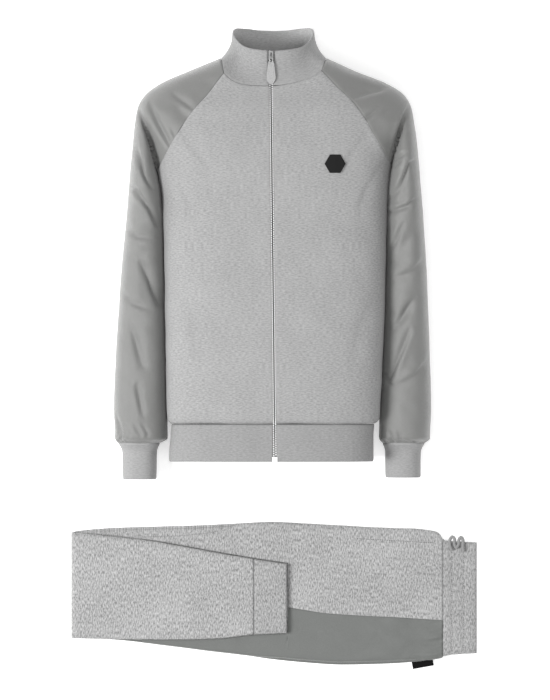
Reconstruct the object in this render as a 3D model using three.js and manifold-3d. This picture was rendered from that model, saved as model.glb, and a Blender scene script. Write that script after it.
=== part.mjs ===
// A zip-front tracksuit laid out as a set: a filled-out jacket on its back, with folded trousers below it.
// Units are millimetres. +Z points up from the surface, +Y to the jacket's collar, +X to the viewer's right.
import * as THREE from "three";
import { mergeVertices } from "three/addons/utils/BufferGeometryUtils.js";
import Module from "manifold-3d";

const wasm = await Module();
wasm.setup();

// Cloth thicknesses and the gap kept between pieces
const KNIT = 2.2;
const NYLON = 1.5;
const RIB = 2.8;
const SEAM_GAP = 0.4;
const LIFT = 0.3;
const ARMPIT_GAP = 0.9;

// Jacket outline seen from above: the outer edge of the shoulders and hanging sleeves
const OUTLINE = [
  { y: 493, left: -90, right: 89 },
  { y: 471, left: -144, right: 138 },
  { y: 450, left: -192, right: 191 },
  { y: 430, left: -219, right: 221 },
  { y: 409, left: -231, right: 233 },
  { y: 388, left: -235, right: 237 },
  { y: 328, left: -241, right: 244.5 },
  { y: 287, left: -245, right: 248 },
  { y: 226, left: -250, right: 253 },
  { y: 144, left: -258, right: 258.5 },
  { y: 63, left: -264, right: 262 },
  { y: -19, left: -269, right: 265 },
  { y: -100, left: -272, right: 267 },
  { y: -150, left: -270, right: 265 },
];

// Edge of the body: the crease between chest and sleeve, and the side of the body below the armpit
const BODY_EDGE = [
  { y: 493, left: -90, right: 89 },
  { y: 471, left: -144, right: 138 },
  { y: 450, left: -192, right: 191 },
  { y: 430, left: -218, right: 220 },
  { y: 406, left: -227, right: 229 },
  { y: 376, left: -219, right: 216 },
  { y: 345, left: -209, right: 206 },
  { y: 306, left: -199, right: 197.5 },
  { y: 270, left: -192, right: 193.5 },
  { y: 226, left: -188.7, right: 191.5 },
  { y: 144, left: -186, right: 190 },
  { y: 32, left: -184, right: 186.5 },
  { y: -100, left: -182, right: 180 },
  { y: -119, left: -180.5, right: 178.5 },
  { y: -127, left: -175, right: 171 },
];

// Depth of the body from its flat back to its front
const BODY_DEPTH = [
  { y: 493, depth: 142 },
  { y: 470, depth: 146 },
  { y: 445, depth: 150 },
  { y: 400, depth: 166 },
  { y: 320, depth: 176 },
  { y: 300, depth: 176 },
  { y: 0, depth: 176 },
  { y: -80, depth: 173 },
  { y: -119, depth: 166 },
  { y: -127, depth: 160 },
];

// Height of a sleeve's top and of its widest place above the surface
const SLEEVE_HEIGHT = [
  { y: 420, top: 150, middle: 86 },
  { y: 320, top: 160, middle: 88 },
  { y: 300, top: 158, middle: 88 },
  { y: 260, top: 148, middle: 78 },
  { y: 144, top: 126, middle: 64 },
  { y: 63, top: 117, middle: 59 },
  { y: -100, top: 106, middle: 53 },
  { y: -150, top: 100, middle: 50 },
  { y: -161, top: 90, middle: 45 },
];

// Raglan seams from the neck to the armpit, in plan
const RAGLAN = {
  left: [
    { y: 467, x: -84.5 },
    { y: 428, x: -114 },
    { y: 401, x: -138 },
    { y: 369, x: -160 },
    { y: 342, x: -176 },
    { y: 318, x: -189 },
    { y: 301, x: -198 },
  ],
  right: [
    { y: 470.5, x: 80.5 },
    { y: 442, x: 107 },
    { y: 418, x: 132.5 },
    { y: 394, x: 150 },
    { y: 362, x: 168.5 },
    { y: 333, x: 186 },
    { y: 314, x: 198.5 },
  ],
};

// Neck seam of the front, from the zip out to the raglan seam, in plan
const NECK_SEAM = {
  left: [
    { x: 0, y: 444 },
    { x: 17, y: 444.2 },
    { x: 46, y: 446 },
    { x: 64, y: 450.7 },
    { x: 77, y: 458.5 },
    { x: 84.5, y: 467 },
  ],
  right: [
    { x: 0, y: 444 },
    { x: 10, y: 445.2 },
    { x: 36, y: 450 },
    { x: 53, y: 455.3 },
    { x: 69, y: 461.7 },
    { x: 80.5, y: 470.5 },
  ],
};
const NECK_BACK_Y = 484;
const NECK_BACK_SIDE_Y = 489;
const SHOULDER_TOP_Y = 493;

// Collar rim, by the angle round the neck from the centre front
const RIM_Y = [
  { angle: 0, y: 503.4 },
  { angle: 30, y: 508 },
  { angle: 45, y: 513 },
  { angle: 60, y: 521 },
  { angle: 75, y: 529.5 },
  { angle: 90, y: 537.5 },
  { angle: 105, y: 543 },
  { angle: 122, y: 545.7 },
  { angle: 142, y: 545.5 },
  { angle: 162, y: 543 },
  { angle: 180, y: 541.8 },
];
const RIM_HALF_WIDTH = 70;
const RIM_CENTRE_X = -1;
const RIM_CENTRE_Z = 75;
const RIM_HALF_DEPTH = 67;
const RIM_POWER = 2.3;

// Places along the raglan seam, as shares from the neck to the armpit
const SEAM_SHARES = [0, 0.09, 0.18, 0.28, 0.39, 0.5, 0.61, 0.72, 0.82, 0.9, 0.96, 1];

// Rows across the body and the sleeves below the armpit
const BODY_ROWS = [262, 215, 160, 100, 40, -20, -70, -104, -119, -126.8];
const SLEEVE_ROWS = [274, 240, 200, 155, 110, 60, 10, -45, -100, -140, -154, -160.6];

// Section shapes: a higher power is squarer
const BODY_POWER = 3;
const SLEEVE_POWER = 2.4;
const RAGLAN_SPACING = 2.2;
const BACK_SINK = 7;
const CREASE_TOP_Y = 402;
const SLEEVE_CLEARANCE = 1.2;

// Zip line from the neck seam to the hem, and the widths of what lies along it
const ZIP_TOP_X = -5;
const ZIP_BOTTOM_X = 1.7;
const HEM_SEAM_Y = -127;
const HEM_END_Y = -190.5;
const ZIP_PANEL_EDGE = 5.2;
const CHAIN = { half: 2.6, under: 0.4, thick: 2.4 };
const TAPE = { inner: 3, outer: 12, under: 3.3, tilt: 2.2, thick: 1 };
const BOX = { top: -182, bottom: -190.5, half: 4.5, under: 2.5, over: 1.2 };

// Slider at the top of the zip, its bridge and the pull tab
const SLIDER = { y: 495.5, length: 15, half: 4.6, flange: 1.6, below: 2, plate: 1.2, over: 1.8, chamfer: 0.8 };
const BRIDGE = { width: 2.4, back: 7.4, front: 5.6, wall: 1.1, high: 4.5 };
const HINGE = { back: 4.5, over: 1.7 };
const TAB = { thick: 1.4, length: 45, eye: 7.5, reach: 7.8, shoulder: 5.2, slot: 1.9, tilt: 7.6 };
const TAB_BAR = { half: 3.4, back: 0.7 };

// Largest folds of the sleeves: troughs between two points in plan, with depth and half width
const SLEEVE_FOLDS = {
  left: [
    { x0: -236, y0: 345, x1: -206, y1: 275, depth: 6, half: 13 },
    { x0: -228, y0: 150, x1: -196, y1: 82, depth: 6, half: 14 },
    { x0: -246, y0: 42, x1: -224, y1: -26, depth: 5, half: 13 },
    { x0: -168, y0: 420, x1: -140, y1: 380, depth: 4, half: 12 },
  ],
  right: [
    { x0: 238, y0: 322, x1: 212, y1: 250, depth: 6, half: 14 },
    { x0: 234, y0: 196, x1: 204, y1: 150, depth: 6, half: 13 },
    { x0: 236, y0: 84, x1: 206, y1: 40, depth: 5, half: 13 },
    { x0: 130, y0: 444, x1: 176, y1: 436, depth: 4, half: 12 },
  ],
};

// Cuffs: rows down from the sleeve seam, with the two edges and the height
const CUFFS = {
  left: [
    { y: -161, outer: -265, inner: -193, height: 88 },
    { y: -166, outer: -261, inner: -196.5, height: 78 },
    { y: -176, outer: -258, inner: -199, height: 70 },
    { y: -200, outer: -257.5, inner: -199.5, height: 67 },
    { y: -221.5, outer: -257, inner: -200, height: 66 },
  ],
  right: [
    { y: -161, outer: 257, inner: 184, height: 88 },
    { y: -166, outer: 253, inner: 187, height: 78 },
    { y: -176, outer: 250, inner: 189, height: 70 },
    { y: -200, outer: 249.5, inner: 189, height: 67 },
    { y: -218.5, outer: 249.5, inner: 189.5, height: 66 },
  ],
};

// Hem band rows
const HEM_ROWS = [
  { y: -127.2, left: -174.5, right: 170, depth: 160 },
  { y: -145, left: -175.5, right: 168.5, depth: 159 },
  { y: -170, left: -178, right: 168.5, depth: 158 },
  { y: -190.5, left: -178.5, right: 168.5, depth: 157 },
];

// Badge on the wearer's left chest: a plain hexagon
const BADGE = { x: 103, y: 312, radius: 17.8, thick: 1.8, rings: 2, steps: 3 };

// Folded trousers, in plan. The lower stack is the upper legs, the upper stack is the legs folded back.
const FOLD_X = -345.5;
const LOWER_STACK = [
  { x: -345.5, bottom: -493, top: -311.5 },
  { x: -320, bottom: -493.5, top: -308 },
  { x: -270, bottom: -496, top: -304.5 },
  { x: -205, bottom: -503, top: -302.5 },
  { x: -134, bottom: -512, top: -300.5 },
  { x: -60, bottom: -521, top: -297 },
  { x: 0, bottom: -529.5, top: -294.5 },
  { x: 56, bottom: -535, top: -297.5 },
  { x: 115, bottom: -538.5, top: -300.5 },
  { x: 185, bottom: -537, top: -304.5 },
  { x: 246, bottom: -533, top: -308 },
  { x: 272, bottom: -528, top: -313.5 },
  { x: 290, bottom: -523.5, top: -322 },
  { x: 302, bottom: -521.5, top: -326 },
  { x: 345.5, bottom: -519, top: -328 },
];
const UPPER_STACK = [
  { x: -345.5, bottom: -492.5, top: -312 },
  { x: -290, bottom: -494, top: -318 },
  { x: -221, bottom: -494.5, top: -325 },
  { x: -158, bottom: -494.5, top: -335 },
  { x: -97, bottom: -493, top: -346.5 },
  { x: -34, bottom: -486.5, top: -357 },
  { x: 22.5, bottom: -484, top: -365.5 },
];
const ANKLE_SEAM_X = -34;
const ANKLE_END_X = 22.5;
const WAIST_SEAM_X = 288;
const WAIST_END_X = 345.5;
const NYLON_SEAM = [
  { x: 22.5, y: -440 },
  { x: 56, y: -445.5 },
  { x: 90, y: -450.5 },
  { x: 141, y: -454 },
  { x: 210, y: -457.5 },
  { x: 290, y: -462.5 },
];
const LOWER_TOP_Z = 12.6;
const PLY_JOIN = 0.4;
const PLY_TURN = 6;
const PLY_CLEAR = 0.8;
const PLY_COLUMNS = 4;
const PLY_EDGE = 7;
const FOLD_INSET = 3;

// Visible edge of the upper knit ply, inside the outline of the ply below it
const KNIT_EDGE = [
  { x: -255, y: -319.6 },
  { x: -173, y: -318 },
  { x: -115, y: -312.5 },
  { x: -78, y: -306 },
  { x: -58, y: -297.2 },
];

// Outer ply at the fold: height above the surface at each inset from the fold's line
const FOLD_TURN = [
  { inset: 4, z: 2.4 },
  { inset: 1, z: 6 },
  { inset: 0, z: 13 },
  { inset: 0.8, z: 21 },
  { inset: 3, z: 25.4 },
  { inset: 8, z: 27.2 },
];

// Side label and drawstring
const LABEL = { x: 253.6, y: -536.6, z: 4.3, length: 36, width: 12.2, thick: 1, turn: 10 };
const CORD_RADIUS = 2.3;
const DRAWSTRING = [
  { x: 303, y: -343, z: 19 },
  { x: 299.6, y: -334, z: 19.4 },
  { x: 299.6, y: -325, z: 20 },
  { x: 303.6, y: -319.6, z: 20.4 },
  { x: 307.6, y: -324, z: 20.6 },
  { x: 307.2, y: -332, z: 20.4 },
  { x: 310.4, y: -338, z: 20.4 },
  { x: 314.4, y: -332, z: 20.8 },
  { x: 314.8, y: -325, z: 21 },
  { x: 318.4, y: -320.6, z: 21 },
  { x: 321.8, y: -325.5, z: 20.6 },
  { x: 321.4, y: -335, z: 19.6 },
  { x: 322.6, y: -345.5, z: 18.9 },
];

// Edge of the hidden plies: how far each level stands in from the outline
const PLY_LEVELS = [
  { z: 0, inset: 2.6 },
  { z: 1.2, inset: 0.6 },
  { z: 3.2, inset: 0.6 },
  { z: 4.3, inset: 2.8 },
  { z: 5.4, inset: 0.8 },
  { z: 7.4, inset: 0.8 },
  { z: 8.5, inset: 4 },
  { z: 9.6, inset: 4.4 },
  { z: 11.2, inset: 5 },
  { z: 12.6, inset: 8 },
];

// Finishes, with colours taken as plain greys
const FINISH = {
  knit: { color: 0xb8b8b8, roughness: 0.95, metalness: 0 },
  rib: { color: 0xafafaf, roughness: 0.95, metalness: 0 },
  sleeve: { color: 0x9b9b99, roughness: 0.55, metalness: 0 },
  legside: { color: 0x818481, roughness: 0.5, metalness: 0 },
  metal: { color: 0xc9c9c9, roughness: 0.25, metalness: 1 },
  tape: { color: 0xa9a9a9, roughness: 0.9, metalness: 0 },
  badge: { color: 0x1c1c1e, roughness: 0.6, metalness: 0 },
  cord: { color: 0xb5b5b5, roughness: 0.9, metalness: 0 },
};

const tracksuit = new THREE.Group();

function add(name, geometry, finish, place = {}) {
  const mesh = new THREE.Mesh(geometry, new THREE.MeshStandardMaterial(FINISH[finish]));
  mesh.name = name;
  if (place.position) mesh.position.copy(place.position);
  if (place.rotation) mesh.rotation.copy(place.rotation);
  (place.parent ?? tracksuit).add(mesh);
  return mesh;
}

// Value of one column of a table at a place along its key, through a monotone cubic
function along(table, key, column, at) {
  const up = table[0][key] < table[table.length - 1][key];
  const rows = up ? table : [...table].reverse();
  const last = rows.length - 1;
  if (at <= rows[0][key]) return rows[0][column];
  if (at >= rows[last][key]) return rows[last][column];
  let i = 0;
  while (at > rows[i + 1][key]) i += 1;
  const slope = (k) => (rows[k + 1][column] - rows[k][column]) / (rows[k + 1][key] - rows[k][key]);
  const tangent = (k) => {
    if (k === 0) return slope(0);
    if (k === last) return slope(last - 1);
    const before = slope(k - 1);
    const after = slope(k);
    return before * after <= 0 ? 0 : (2 * before * after) / (before + after);
  };
  const step = rows[i + 1][key] - rows[i][key];
  const t = (at - rows[i][key]) / step;
  const a = rows[i][column];
  const b = rows[i + 1][column];
  const hermiteA = (1 + 2 * t) * (1 - t) ** 2 * a + t * (1 - t) ** 2 * step * tangent(i);
  const hermiteB = t ** 2 * (3 - 2 * t) * b + t ** 2 * (t - 1) * step * tangent(i + 1);
  return hermiteA + hermiteB;
}

const mix = (a, b, t) => a + (b - a) * t;
const clamp01 = (t) => Math.min(1, Math.max(0, t));
const smoothstep = (t) => clamp01(t) ** 2 * (3 - 2 * clamp01(t));
const ellipseArc = (share, power) => Math.max(0, 1 - Math.min(1, Math.abs(share)) ** power) ** (1 / power);
const sideOf = (x) => (x < 0 ? "left" : "right");
const zipX = (y) => mix(ZIP_TOP_X, ZIP_BOTTOM_X, (444 - Math.min(y, 444)) / (444 - HEM_END_Y));

// Height of the front and of the back of the jacket over a place in plan, with sleeves above the armpit
function bodyHeights(x, y, reach) {
  const depth = along(BODY_DEPTH, "y", "depth", y);
  const middle = depth / 2;
  const arc = ellipseArc(x / reach, BODY_POWER);
  return { front: middle + middle * arc, back: Math.max(0, middle - (middle + BACK_SINK) * arc) };
}

function sleeveHeights(x, y, inner, outer) {
  const top = along(SLEEVE_HEIGHT, "y", "top", y);
  const middle = along(SLEEVE_HEIGHT, "y", "middle", y);
  const arc = ellipseArc((2 * x - inner - outer) / (outer - inner), SLEEVE_POWER);
  const back = Math.max(0, middle - (middle + BACK_SINK) * arc);
  return { front: middle + (top - middle) * arc, back };
}

function armpitY(side) {
  return RAGLAN[side][RAGLAN[side].length - 1].y;
}

function heights(x, y) {
  const side = sideOf(x);
  const edge = along(BODY_EDGE, "y", side, y);
  const outer = along(OUTLINE, "y", side, y);
  const armpit = armpitY(side);
  const onBody = Math.abs(x) <= Math.abs(edge);
  if (y <= armpit) return onBody ? bodyHeights(x, y, edge) : sleeveHeights(x, y, edge, outer);
  const apart = 1 - smoothstep((y - armpit) / (CREASE_TOP_Y - armpit));
  const whole = bodyHeights(x, y, outer);
  if (apart === 0) return whole;
  const split = onBody ? bodyHeights(x, y, edge) : sleeveHeights(x, y, edge, outer);
  return { front: mix(whole.front, split.front, apart), back: mix(whole.back, split.back, apart) };
}

function foldDepth(x, y, folds) {
  let sum = 0;
  for (const fold of folds) {
    const dx = fold.x1 - fold.x0;
    const dy = fold.y1 - fold.y0;
    const t = ((x - fold.x0) * dx + (y - fold.y0) * dy) / (dx * dx + dy * dy);
    const near = clamp01(t);
    const away = Math.hypot(x - fold.x0 - near * dx, y - fold.y0 - near * dy) / fold.half;
    sum += fold.depth * Math.exp(-away * away);
  }
  return sum;
}

// Points spaced along a line of points, evenly or closer together at both ends
function spaced(points, count, gathered = 0) {
  const length = [0];
  for (let i = 1; i < points.length; i += 1) {
    length.push(length[i - 1] + points[i].distanceTo(points[i - 1]));
  }
  const made = [];
  let k = 0;
  for (let i = 0; i <= count; i += 1) {
    const share = mix(i / count, smoothstep(i / count), gathered);
    const at = length[length.length - 1] * share;
    while (k < points.length - 2 && length[k + 1] < at) k += 1;
    const span = length[k + 1] - length[k];
    made.push(points[k].clone().lerp(points[k + 1], span > 0 ? (at - length[k]) / span : 0));
  }
  return made;
}

// Closed wall: a grid of outer points and the same grid moved inwards by the thickness.
// Rows named in level keep their place along the garment, so that they meet the next piece.
function wall(rows, thick, centre, { closed = false, level = [] } = {}) {
  const high = rows.length;
  const wide = rows[0].length;
  const column = (j) => (closed ? (j + wide) % wide : Math.min(wide - 1, Math.max(0, j)));
  const at = (i, j) => rows[Math.min(high - 1, Math.max(0, i))][column(j)];
  const normals = rows.map((row, i) =>
    row.map((point, j) => {
      const across = at(i, j + 1).clone().sub(at(i, j - 1));
      const down = at(i + 1, j).clone().sub(at(i - 1, j));
      const normal = across.cross(down);
      if (level.includes(i)) normal.y = 0;
      return normal.normalize();
    }),
  );
  let facing = 0;
  rows.forEach((row, i) =>
    row.forEach((point, j) => {
      facing += normals[i][j].dot(point.clone().sub(centre(point)));
    }),
  );
  const sign = Math.sign(facing);
  const inner = rows.map((row, i) =>
    row.map((point, j) => point.clone().addScaledVector(normals[i][j], -sign * thick)),
  );
  return solidBetween(rows, inner, closed);
}

function solidBetween(outer, inner, closed) {
  const high = outer.length;
  const wide = outer[0].length;
  const across = closed ? wide : wide - 1;
  const points = [];
  for (const row of [...outer, ...inner]) {
    for (const p of row) points.push(p.x, p.y, p.z);
  }
  const index = [];
  const out = (i, j) => i * wide + (j % wide);
  const inn = (i, j) => high * wide + out(i, j);
  const quad = (a, b, c, d) => index.push(a, b, c, a, c, d);
  for (let i = 0; i < high - 1; i += 1) {
    for (let j = 0; j < across; j += 1) {
      quad(out(i, j), out(i, j + 1), out(i + 1, j + 1), out(i + 1, j));
      quad(inn(i, j), inn(i + 1, j), inn(i + 1, j + 1), inn(i, j + 1));
    }
  }
  for (let j = 0; j < across; j += 1) {
    quad(out(0, j + 1), out(0, j), inn(0, j), inn(0, j + 1));
    quad(out(high - 1, j), out(high - 1, j + 1), inn(high - 1, j + 1), inn(high - 1, j));
  }
  if (!closed) {
    for (let i = 0; i < high - 1; i += 1) {
      quad(out(i, 0), out(i + 1, 0), inn(i + 1, 0), inn(i, 0));
      quad(out(i + 1, wide - 1), out(i, wide - 1), inn(i, wide - 1), inn(i + 1, wide - 1));
    }
  }
  return facedOut(points, index);
}

function facedOut(points, index) {
  let volume = 0;
  const corner = (k) => new THREE.Vector3(points[3 * k], points[3 * k + 1], points[3 * k + 2]);
  for (let i = 0; i < index.length; i += 3) {
    volume += corner(index[i]).dot(corner(index[i + 1]).cross(corner(index[i + 2])));
  }
  if (volume < 0) index.reverse();
  const geometry = new THREE.BufferGeometry();
  geometry.setAttribute("position", new THREE.Float32BufferAttribute(points, 3));
  geometry.setIndex(index);
  return geometry;
}

// Share of the way to an edge that turns down, closer together towards the edge
const edgeShare = (t, power) => Math.sin((t * Math.PI) / 2) ** (2 / power);

// Raglan seam place k on a side: in plan on the front, on the back and on the shoulder's outline
function seamPlace(side, k) {
  const table = RAGLAN[side];
  const share = SEAM_SHARES[k];
  const y = mix(table[0].y, armpitY(side), share);
  const x = share === 1 ? along(BODY_EDGE, "y", side, y) : along(table, "y", "x", y);
  const backY = mix(NECK_BACK_SIDE_Y, armpitY(side), share);
  const ridgeY = y + (SHOULDER_TOP_Y - table[0].y) * (1 - share) ** 2;
  return { x, y, backY, ridgeY, ridgeX: along(OUTLINE, "y", side, ridgeY) };
}

// Front panel: rows from the hem seam up to the neck seam, columns from the zip to the side or raglan seam
function frontPanel(side) {
  const sign = side === "left" ? -1 : 1;
  const columns = 10;
  const rows = [];
  for (const y of [...BODY_ROWS].reverse()) {
    const edge = along(BODY_EDGE, "y", side, y);
    rows.push(panelRow(side, columns, zipX(y) + sign * ZIP_PANEL_EDGE, edge, () => y, y));
  }
  for (let k = SEAM_SHARES.length - 1; k >= 0; k -= 1) {
    const place = seamPlace(side, k);
    const rise = 1 - SEAM_SHARES[k];
    const edge = place.x - sign * SEAM_GAP * rise ** 0.5;
    const neck = (x) => along(NECK_SEAM[side], "x", "y", Math.abs(x)) - RAGLAN[side][0].y;
    const start = zipX(place.y) + sign * ZIP_PANEL_EDGE;
    const topEdge = RAGLAN[side][0].x;
    const drop = (share) => neck(mix(start, topEdge, share)) * rise ** 2;
    rows.push(panelRow(side, columns, start, edge, (share) => place.y + drop(share), place.y));
  }
  return wall(rows, KNIT, (p) => new THREE.Vector3(0, p.y, 60), { level: [0] });
}

function panelRow(side, columns, start, edge, yAt, rowY) {
  const row = [];
  for (let j = 0; j <= columns; j += 1) {
    const share = edgeShare(j / columns, rowY <= armpitY(side) + 1 ? BODY_POWER : RAGLAN_SPACING);
    const x = mix(start, edge, share);
    const y = yAt(share);
    const height = heights(x, y);
    const depthMiddle = along(BODY_DEPTH, "y", "depth", y) / 2;
    row.push(new THREE.Vector3(x, y, Math.max(height.front, depthMiddle + SEAM_GAP / 2)));
  }
  return row;
}

// Back panel: one piece from side to side, flat where it lies on the surface
function backPanel() {
  const half = 7;
  const rows = [];
  const row = (left, right, yLeft, yRight, dip) => {
    const made = [];
    for (let j = -half; j <= half; j += 1) {
      const share = edgeShare(Math.abs(j) / half, BODY_POWER) * Math.sign(j);
      const x = share < 0 ? -share * left : share * right;
      const y = mix(yLeft, yRight, (share + 1) / 2) + dip * (1 - share ** 2);
      const depthMiddle = along(BODY_DEPTH, "y", "depth", y) / 2;
      made.push(new THREE.Vector3(x, y, Math.min(heights(x, y).back, depthMiddle - SEAM_GAP / 2)));
    }
    return made;
  };
  for (const y of [...BODY_ROWS].reverse()) {
    rows.push(row(along(BODY_EDGE, "y", "left", y), along(BODY_EDGE, "y", "right", y), y, y, 0));
  }
  for (let k = SEAM_SHARES.length - 1; k >= 0; k -= 1) {
    const left = seamPlace("left", k);
    const right = seamPlace("right", k);
    const rise = 1 - SEAM_SHARES[k];
    const gap = SEAM_GAP * rise ** 0.5;
    const dip = (NECK_BACK_Y - NECK_BACK_SIDE_Y) * rise ** 2;
    rows.push(row(left.x + gap, right.x - gap, left.backY, right.backY, dip));
  }
  return wall(rows, KNIT, (p) => new THREE.Vector3(0, p.y, 100), { level: [0] });
}

// One row of a sleeve above the armpit: raglan seam, shoulder outline, raglan seam of the back
function shoulderRow(side, k, columns) {
  const sign = side === "left" ? -1 : 1;
  const place = seamPlace(side, k);
  const start = place.x + sign * (SEAM_GAP + ARMPIT_GAP * SEAM_SHARES[k] ** 4);
  const front = [];
  const back = [];
  const samples = 240;
  for (let i = 0; i <= samples; i += 1) {
    const share = 1 - (1 - i / samples) ** SLEEVE_POWER;
    const x = mix(start, place.ridgeX, share);
    const yFront = mix(place.y, place.ridgeY, share);
    const yBack = mix(place.backY, place.ridgeY, share);
    const high = heights(x, yFront).front - foldDepth(x, yFront, SLEEVE_FOLDS[side]) * (1 - share ** 6);
    front.push(new THREE.Vector3(x, yFront, high));
    back.unshift(new THREE.Vector3(x, yBack, heights(x, yBack).back));
  }
  const middle = along(BODY_DEPTH, "y", "depth", place.ridgeY) / 2;
  front[samples].z = middle;
  back[0].copy(front[samples]);
  if (SEAM_SHARES[k] === 1) {
    front[0].z = along(SLEEVE_HEIGHT, "y", "middle", place.y) + SEAM_GAP / 2;
    back[samples].z = front[0].z - SEAM_GAP;
  }
  return [...spaced(front, columns, 0.6), ...spaced(back, columns, 0.6).slice(1)];
}

// One row of a sleeve below the armpit, all round from the underarm seam back to it
function sleeveRow(side, y, columns, shape = null) {
  const sign = side === "left" ? -1 : 1;
  const inner = shape?.inner ?? along(BODY_EDGE, "y", side, Math.max(y, -100)) + sign * SLEEVE_CLEARANCE;
  const outer = shape?.outer ?? along(OUTLINE, "y", side, y);
  const top = shape?.top ?? along(SLEEVE_HEIGHT, "y", "top", y);
  const middle = shape ? shape.top / 2 : along(SLEEVE_HEIGHT, "y", "middle", y);
  const front = [];
  const back = [];
  const samples = 120;
  for (let i = 0; i <= samples; i += 1) {
    const angle = (Math.PI * i) / samples;
    const share = Math.sign(Math.cos(angle)) * Math.abs(Math.cos(angle)) ** (2 / SLEEVE_POWER);
    const arc = Math.sin(angle) ** (2 / SLEEVE_POWER);
    const x = mix(inner, outer, (1 - share) / 2);
    const fold = foldDepth(x, y, SLEEVE_FOLDS[side]) * arc;
    front.push(new THREE.Vector3(x, y, middle + (top - middle) * arc - fold));
    back.unshift(new THREE.Vector3(x, y, Math.max(0, middle - (middle + BACK_SINK) * arc)));
  }
  front[0].z += SEAM_GAP / 2;
  back[samples].z -= SEAM_GAP / 2;
  return [...spaced(front, columns, 0.6), ...spaced(back, columns, 0.6).slice(1)];
}

function sleeve(side) {
  const columns = 10;
  const rows = SEAM_SHARES.map((_, k) => shoulderRow(side, k, columns));
  for (const y of SLEEVE_ROWS) {
    const cuff = CUFFS[side][0];
    const last = y === SLEEVE_ROWS[SLEEVE_ROWS.length - 1];
    const end = { inner: cuff.inner, outer: cuff.outer, top: cuff.height };
    rows.push(sleeveRow(side, y, columns, last ? end : null));
  }
  const middleX = (y) => mix(along(BODY_EDGE, "y", side, y), along(OUTLINE, "y", side, y), y > 400 ? -1 : 0.5);
  return wall(rows, NYLON, (p) => new THREE.Vector3(middleX(p.y), p.y, 60), { level: [rows.length - 1] });
}

function cuff(side) {
  const rows = CUFFS[side].map((row) => {
    const ring = sleeveRow(side, row.y, 10, { inner: row.inner, outer: row.outer, top: row.height });
    ring[0].z -= SEAM_GAP / 2;
    return ring.slice(0, -1);
  });
  const first = CUFFS[side][0];
  const centre = (p) => new THREE.Vector3((first.inner + first.outer) / 2, p.y, 34);
  return wall(rows, RIB, centre, { closed: true, level: [0] });
}

// Hem band: from one edge of the zip round the back to the other
function hemBand() {
  const half = 17;
  const rows = HEM_ROWS.map((row) => {
    const ring = [];
    const middle = row.depth / 2;
    for (let i = 0; i <= 400; i += 1) {
      const angle = mix(-Math.PI, Math.PI, i / 400);
      const share = Math.sign(Math.sin(angle)) * Math.abs(Math.sin(angle)) ** (2 / BODY_POWER);
      const arc = Math.sign(Math.cos(angle)) * Math.abs(Math.cos(angle)) ** (2 / BODY_POWER);
      const x = share < 0 ? -share * row.left : share * row.right;
      const z = arc > 0 ? Math.max(0, middle - (middle + BACK_SINK) * arc) : middle - middle * arc;
      ring.push(new THREE.Vector3(x, row.y, z));
    }
    const gap = zipX(row.y);
    const kept = ring.filter((p) => p.z < middle || Math.abs(p.x - gap) >= ZIP_PANEL_EDGE);
    kept.unshift(new THREE.Vector3(gap - ZIP_PANEL_EDGE, row.y, row.depth));
    kept.push(new THREE.Vector3(gap + ZIP_PANEL_EDGE, row.y, row.depth));
    return spaced(kept, 2 * half);
  });
  return wall(rows, RIB, (p) => new THREE.Vector3(0, p.y, 80), { level: [0] });
}

// Neck seam loop: from the zip along the left front, over the shoulder, round the back to the other side
function neckLoop() {
  const sidePoints = (side) => {
    const sign = side === "left" ? -1 : 1;
    const made = [];
    for (const row of NECK_SEAM[side]) {
      if (row.x >= 10) made.push(new THREE.Vector3(sign * row.x, row.y, heights(sign * row.x, row.y).front));
    }
    made.unshift(new THREE.Vector3(zipX(445) + sign * ZIP_PANEL_EDGE, made[0].y, made[0].z));
    for (const point of shoulderRow(side, 0, 8).slice(1)) made.push(point);
    return made;
  };
  const left = sidePoints("left");
  const right = sidePoints("right").reverse();
  const back = [];
  for (let i = 1; i < 12; i += 1) {
    const share = mix(-1, 1, i / 12);
    const x = share < 0 ? -share * RAGLAN.left[0].x : share * RAGLAN.right[0].x;
    const y = NECK_BACK_SIDE_Y + (NECK_BACK_Y - NECK_BACK_SIDE_Y) * (1 - share ** 2);
    back.push(new THREE.Vector3(x, y, heights(x, y).back));
  }
  return [...left, ...back, ...right];
}

function rimPoint(angle) {
  const sine = Math.sin(angle);
  const cosine = Math.cos(angle);
  const degrees = Math.abs(THREE.MathUtils.radToDeg(angle));
  return new THREE.Vector3(
    RIM_CENTRE_X + RIM_HALF_WIDTH * Math.sign(sine) * Math.abs(sine) ** (2 / RIM_POWER),
    along(RIM_Y, "angle", "y", Math.min(180, degrees)),
    RIM_CENTRE_Z + RIM_HALF_DEPTH * Math.sign(cosine) * Math.abs(cosine) ** (2 / RIM_POWER),
  );
}

const COLLAR_COLUMNS = 36;
const COLLAR_EASE = 2.4;
const COLLAR_GAP = 0.65;
const NECK_HEART_Y = 520;
const COLLAR_ROWS = [0, 0.08, 0.2, 0.42, 0.7, 1];

function collarPoint(base, share) {
  const angle = Math.atan2(base.x - RIM_CENTRE_X, base.z - RIM_CENTRE_Z);
  const rim = rimPoint(angle);
  const inwards = 1 - (1 - share) ** COLLAR_EASE;
  const y = mix(base.y, rim.y, share);
  return new THREE.Vector3(mix(base.x, rim.x, inwards), y, mix(base.z, rim.z, inwards));
}

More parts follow.
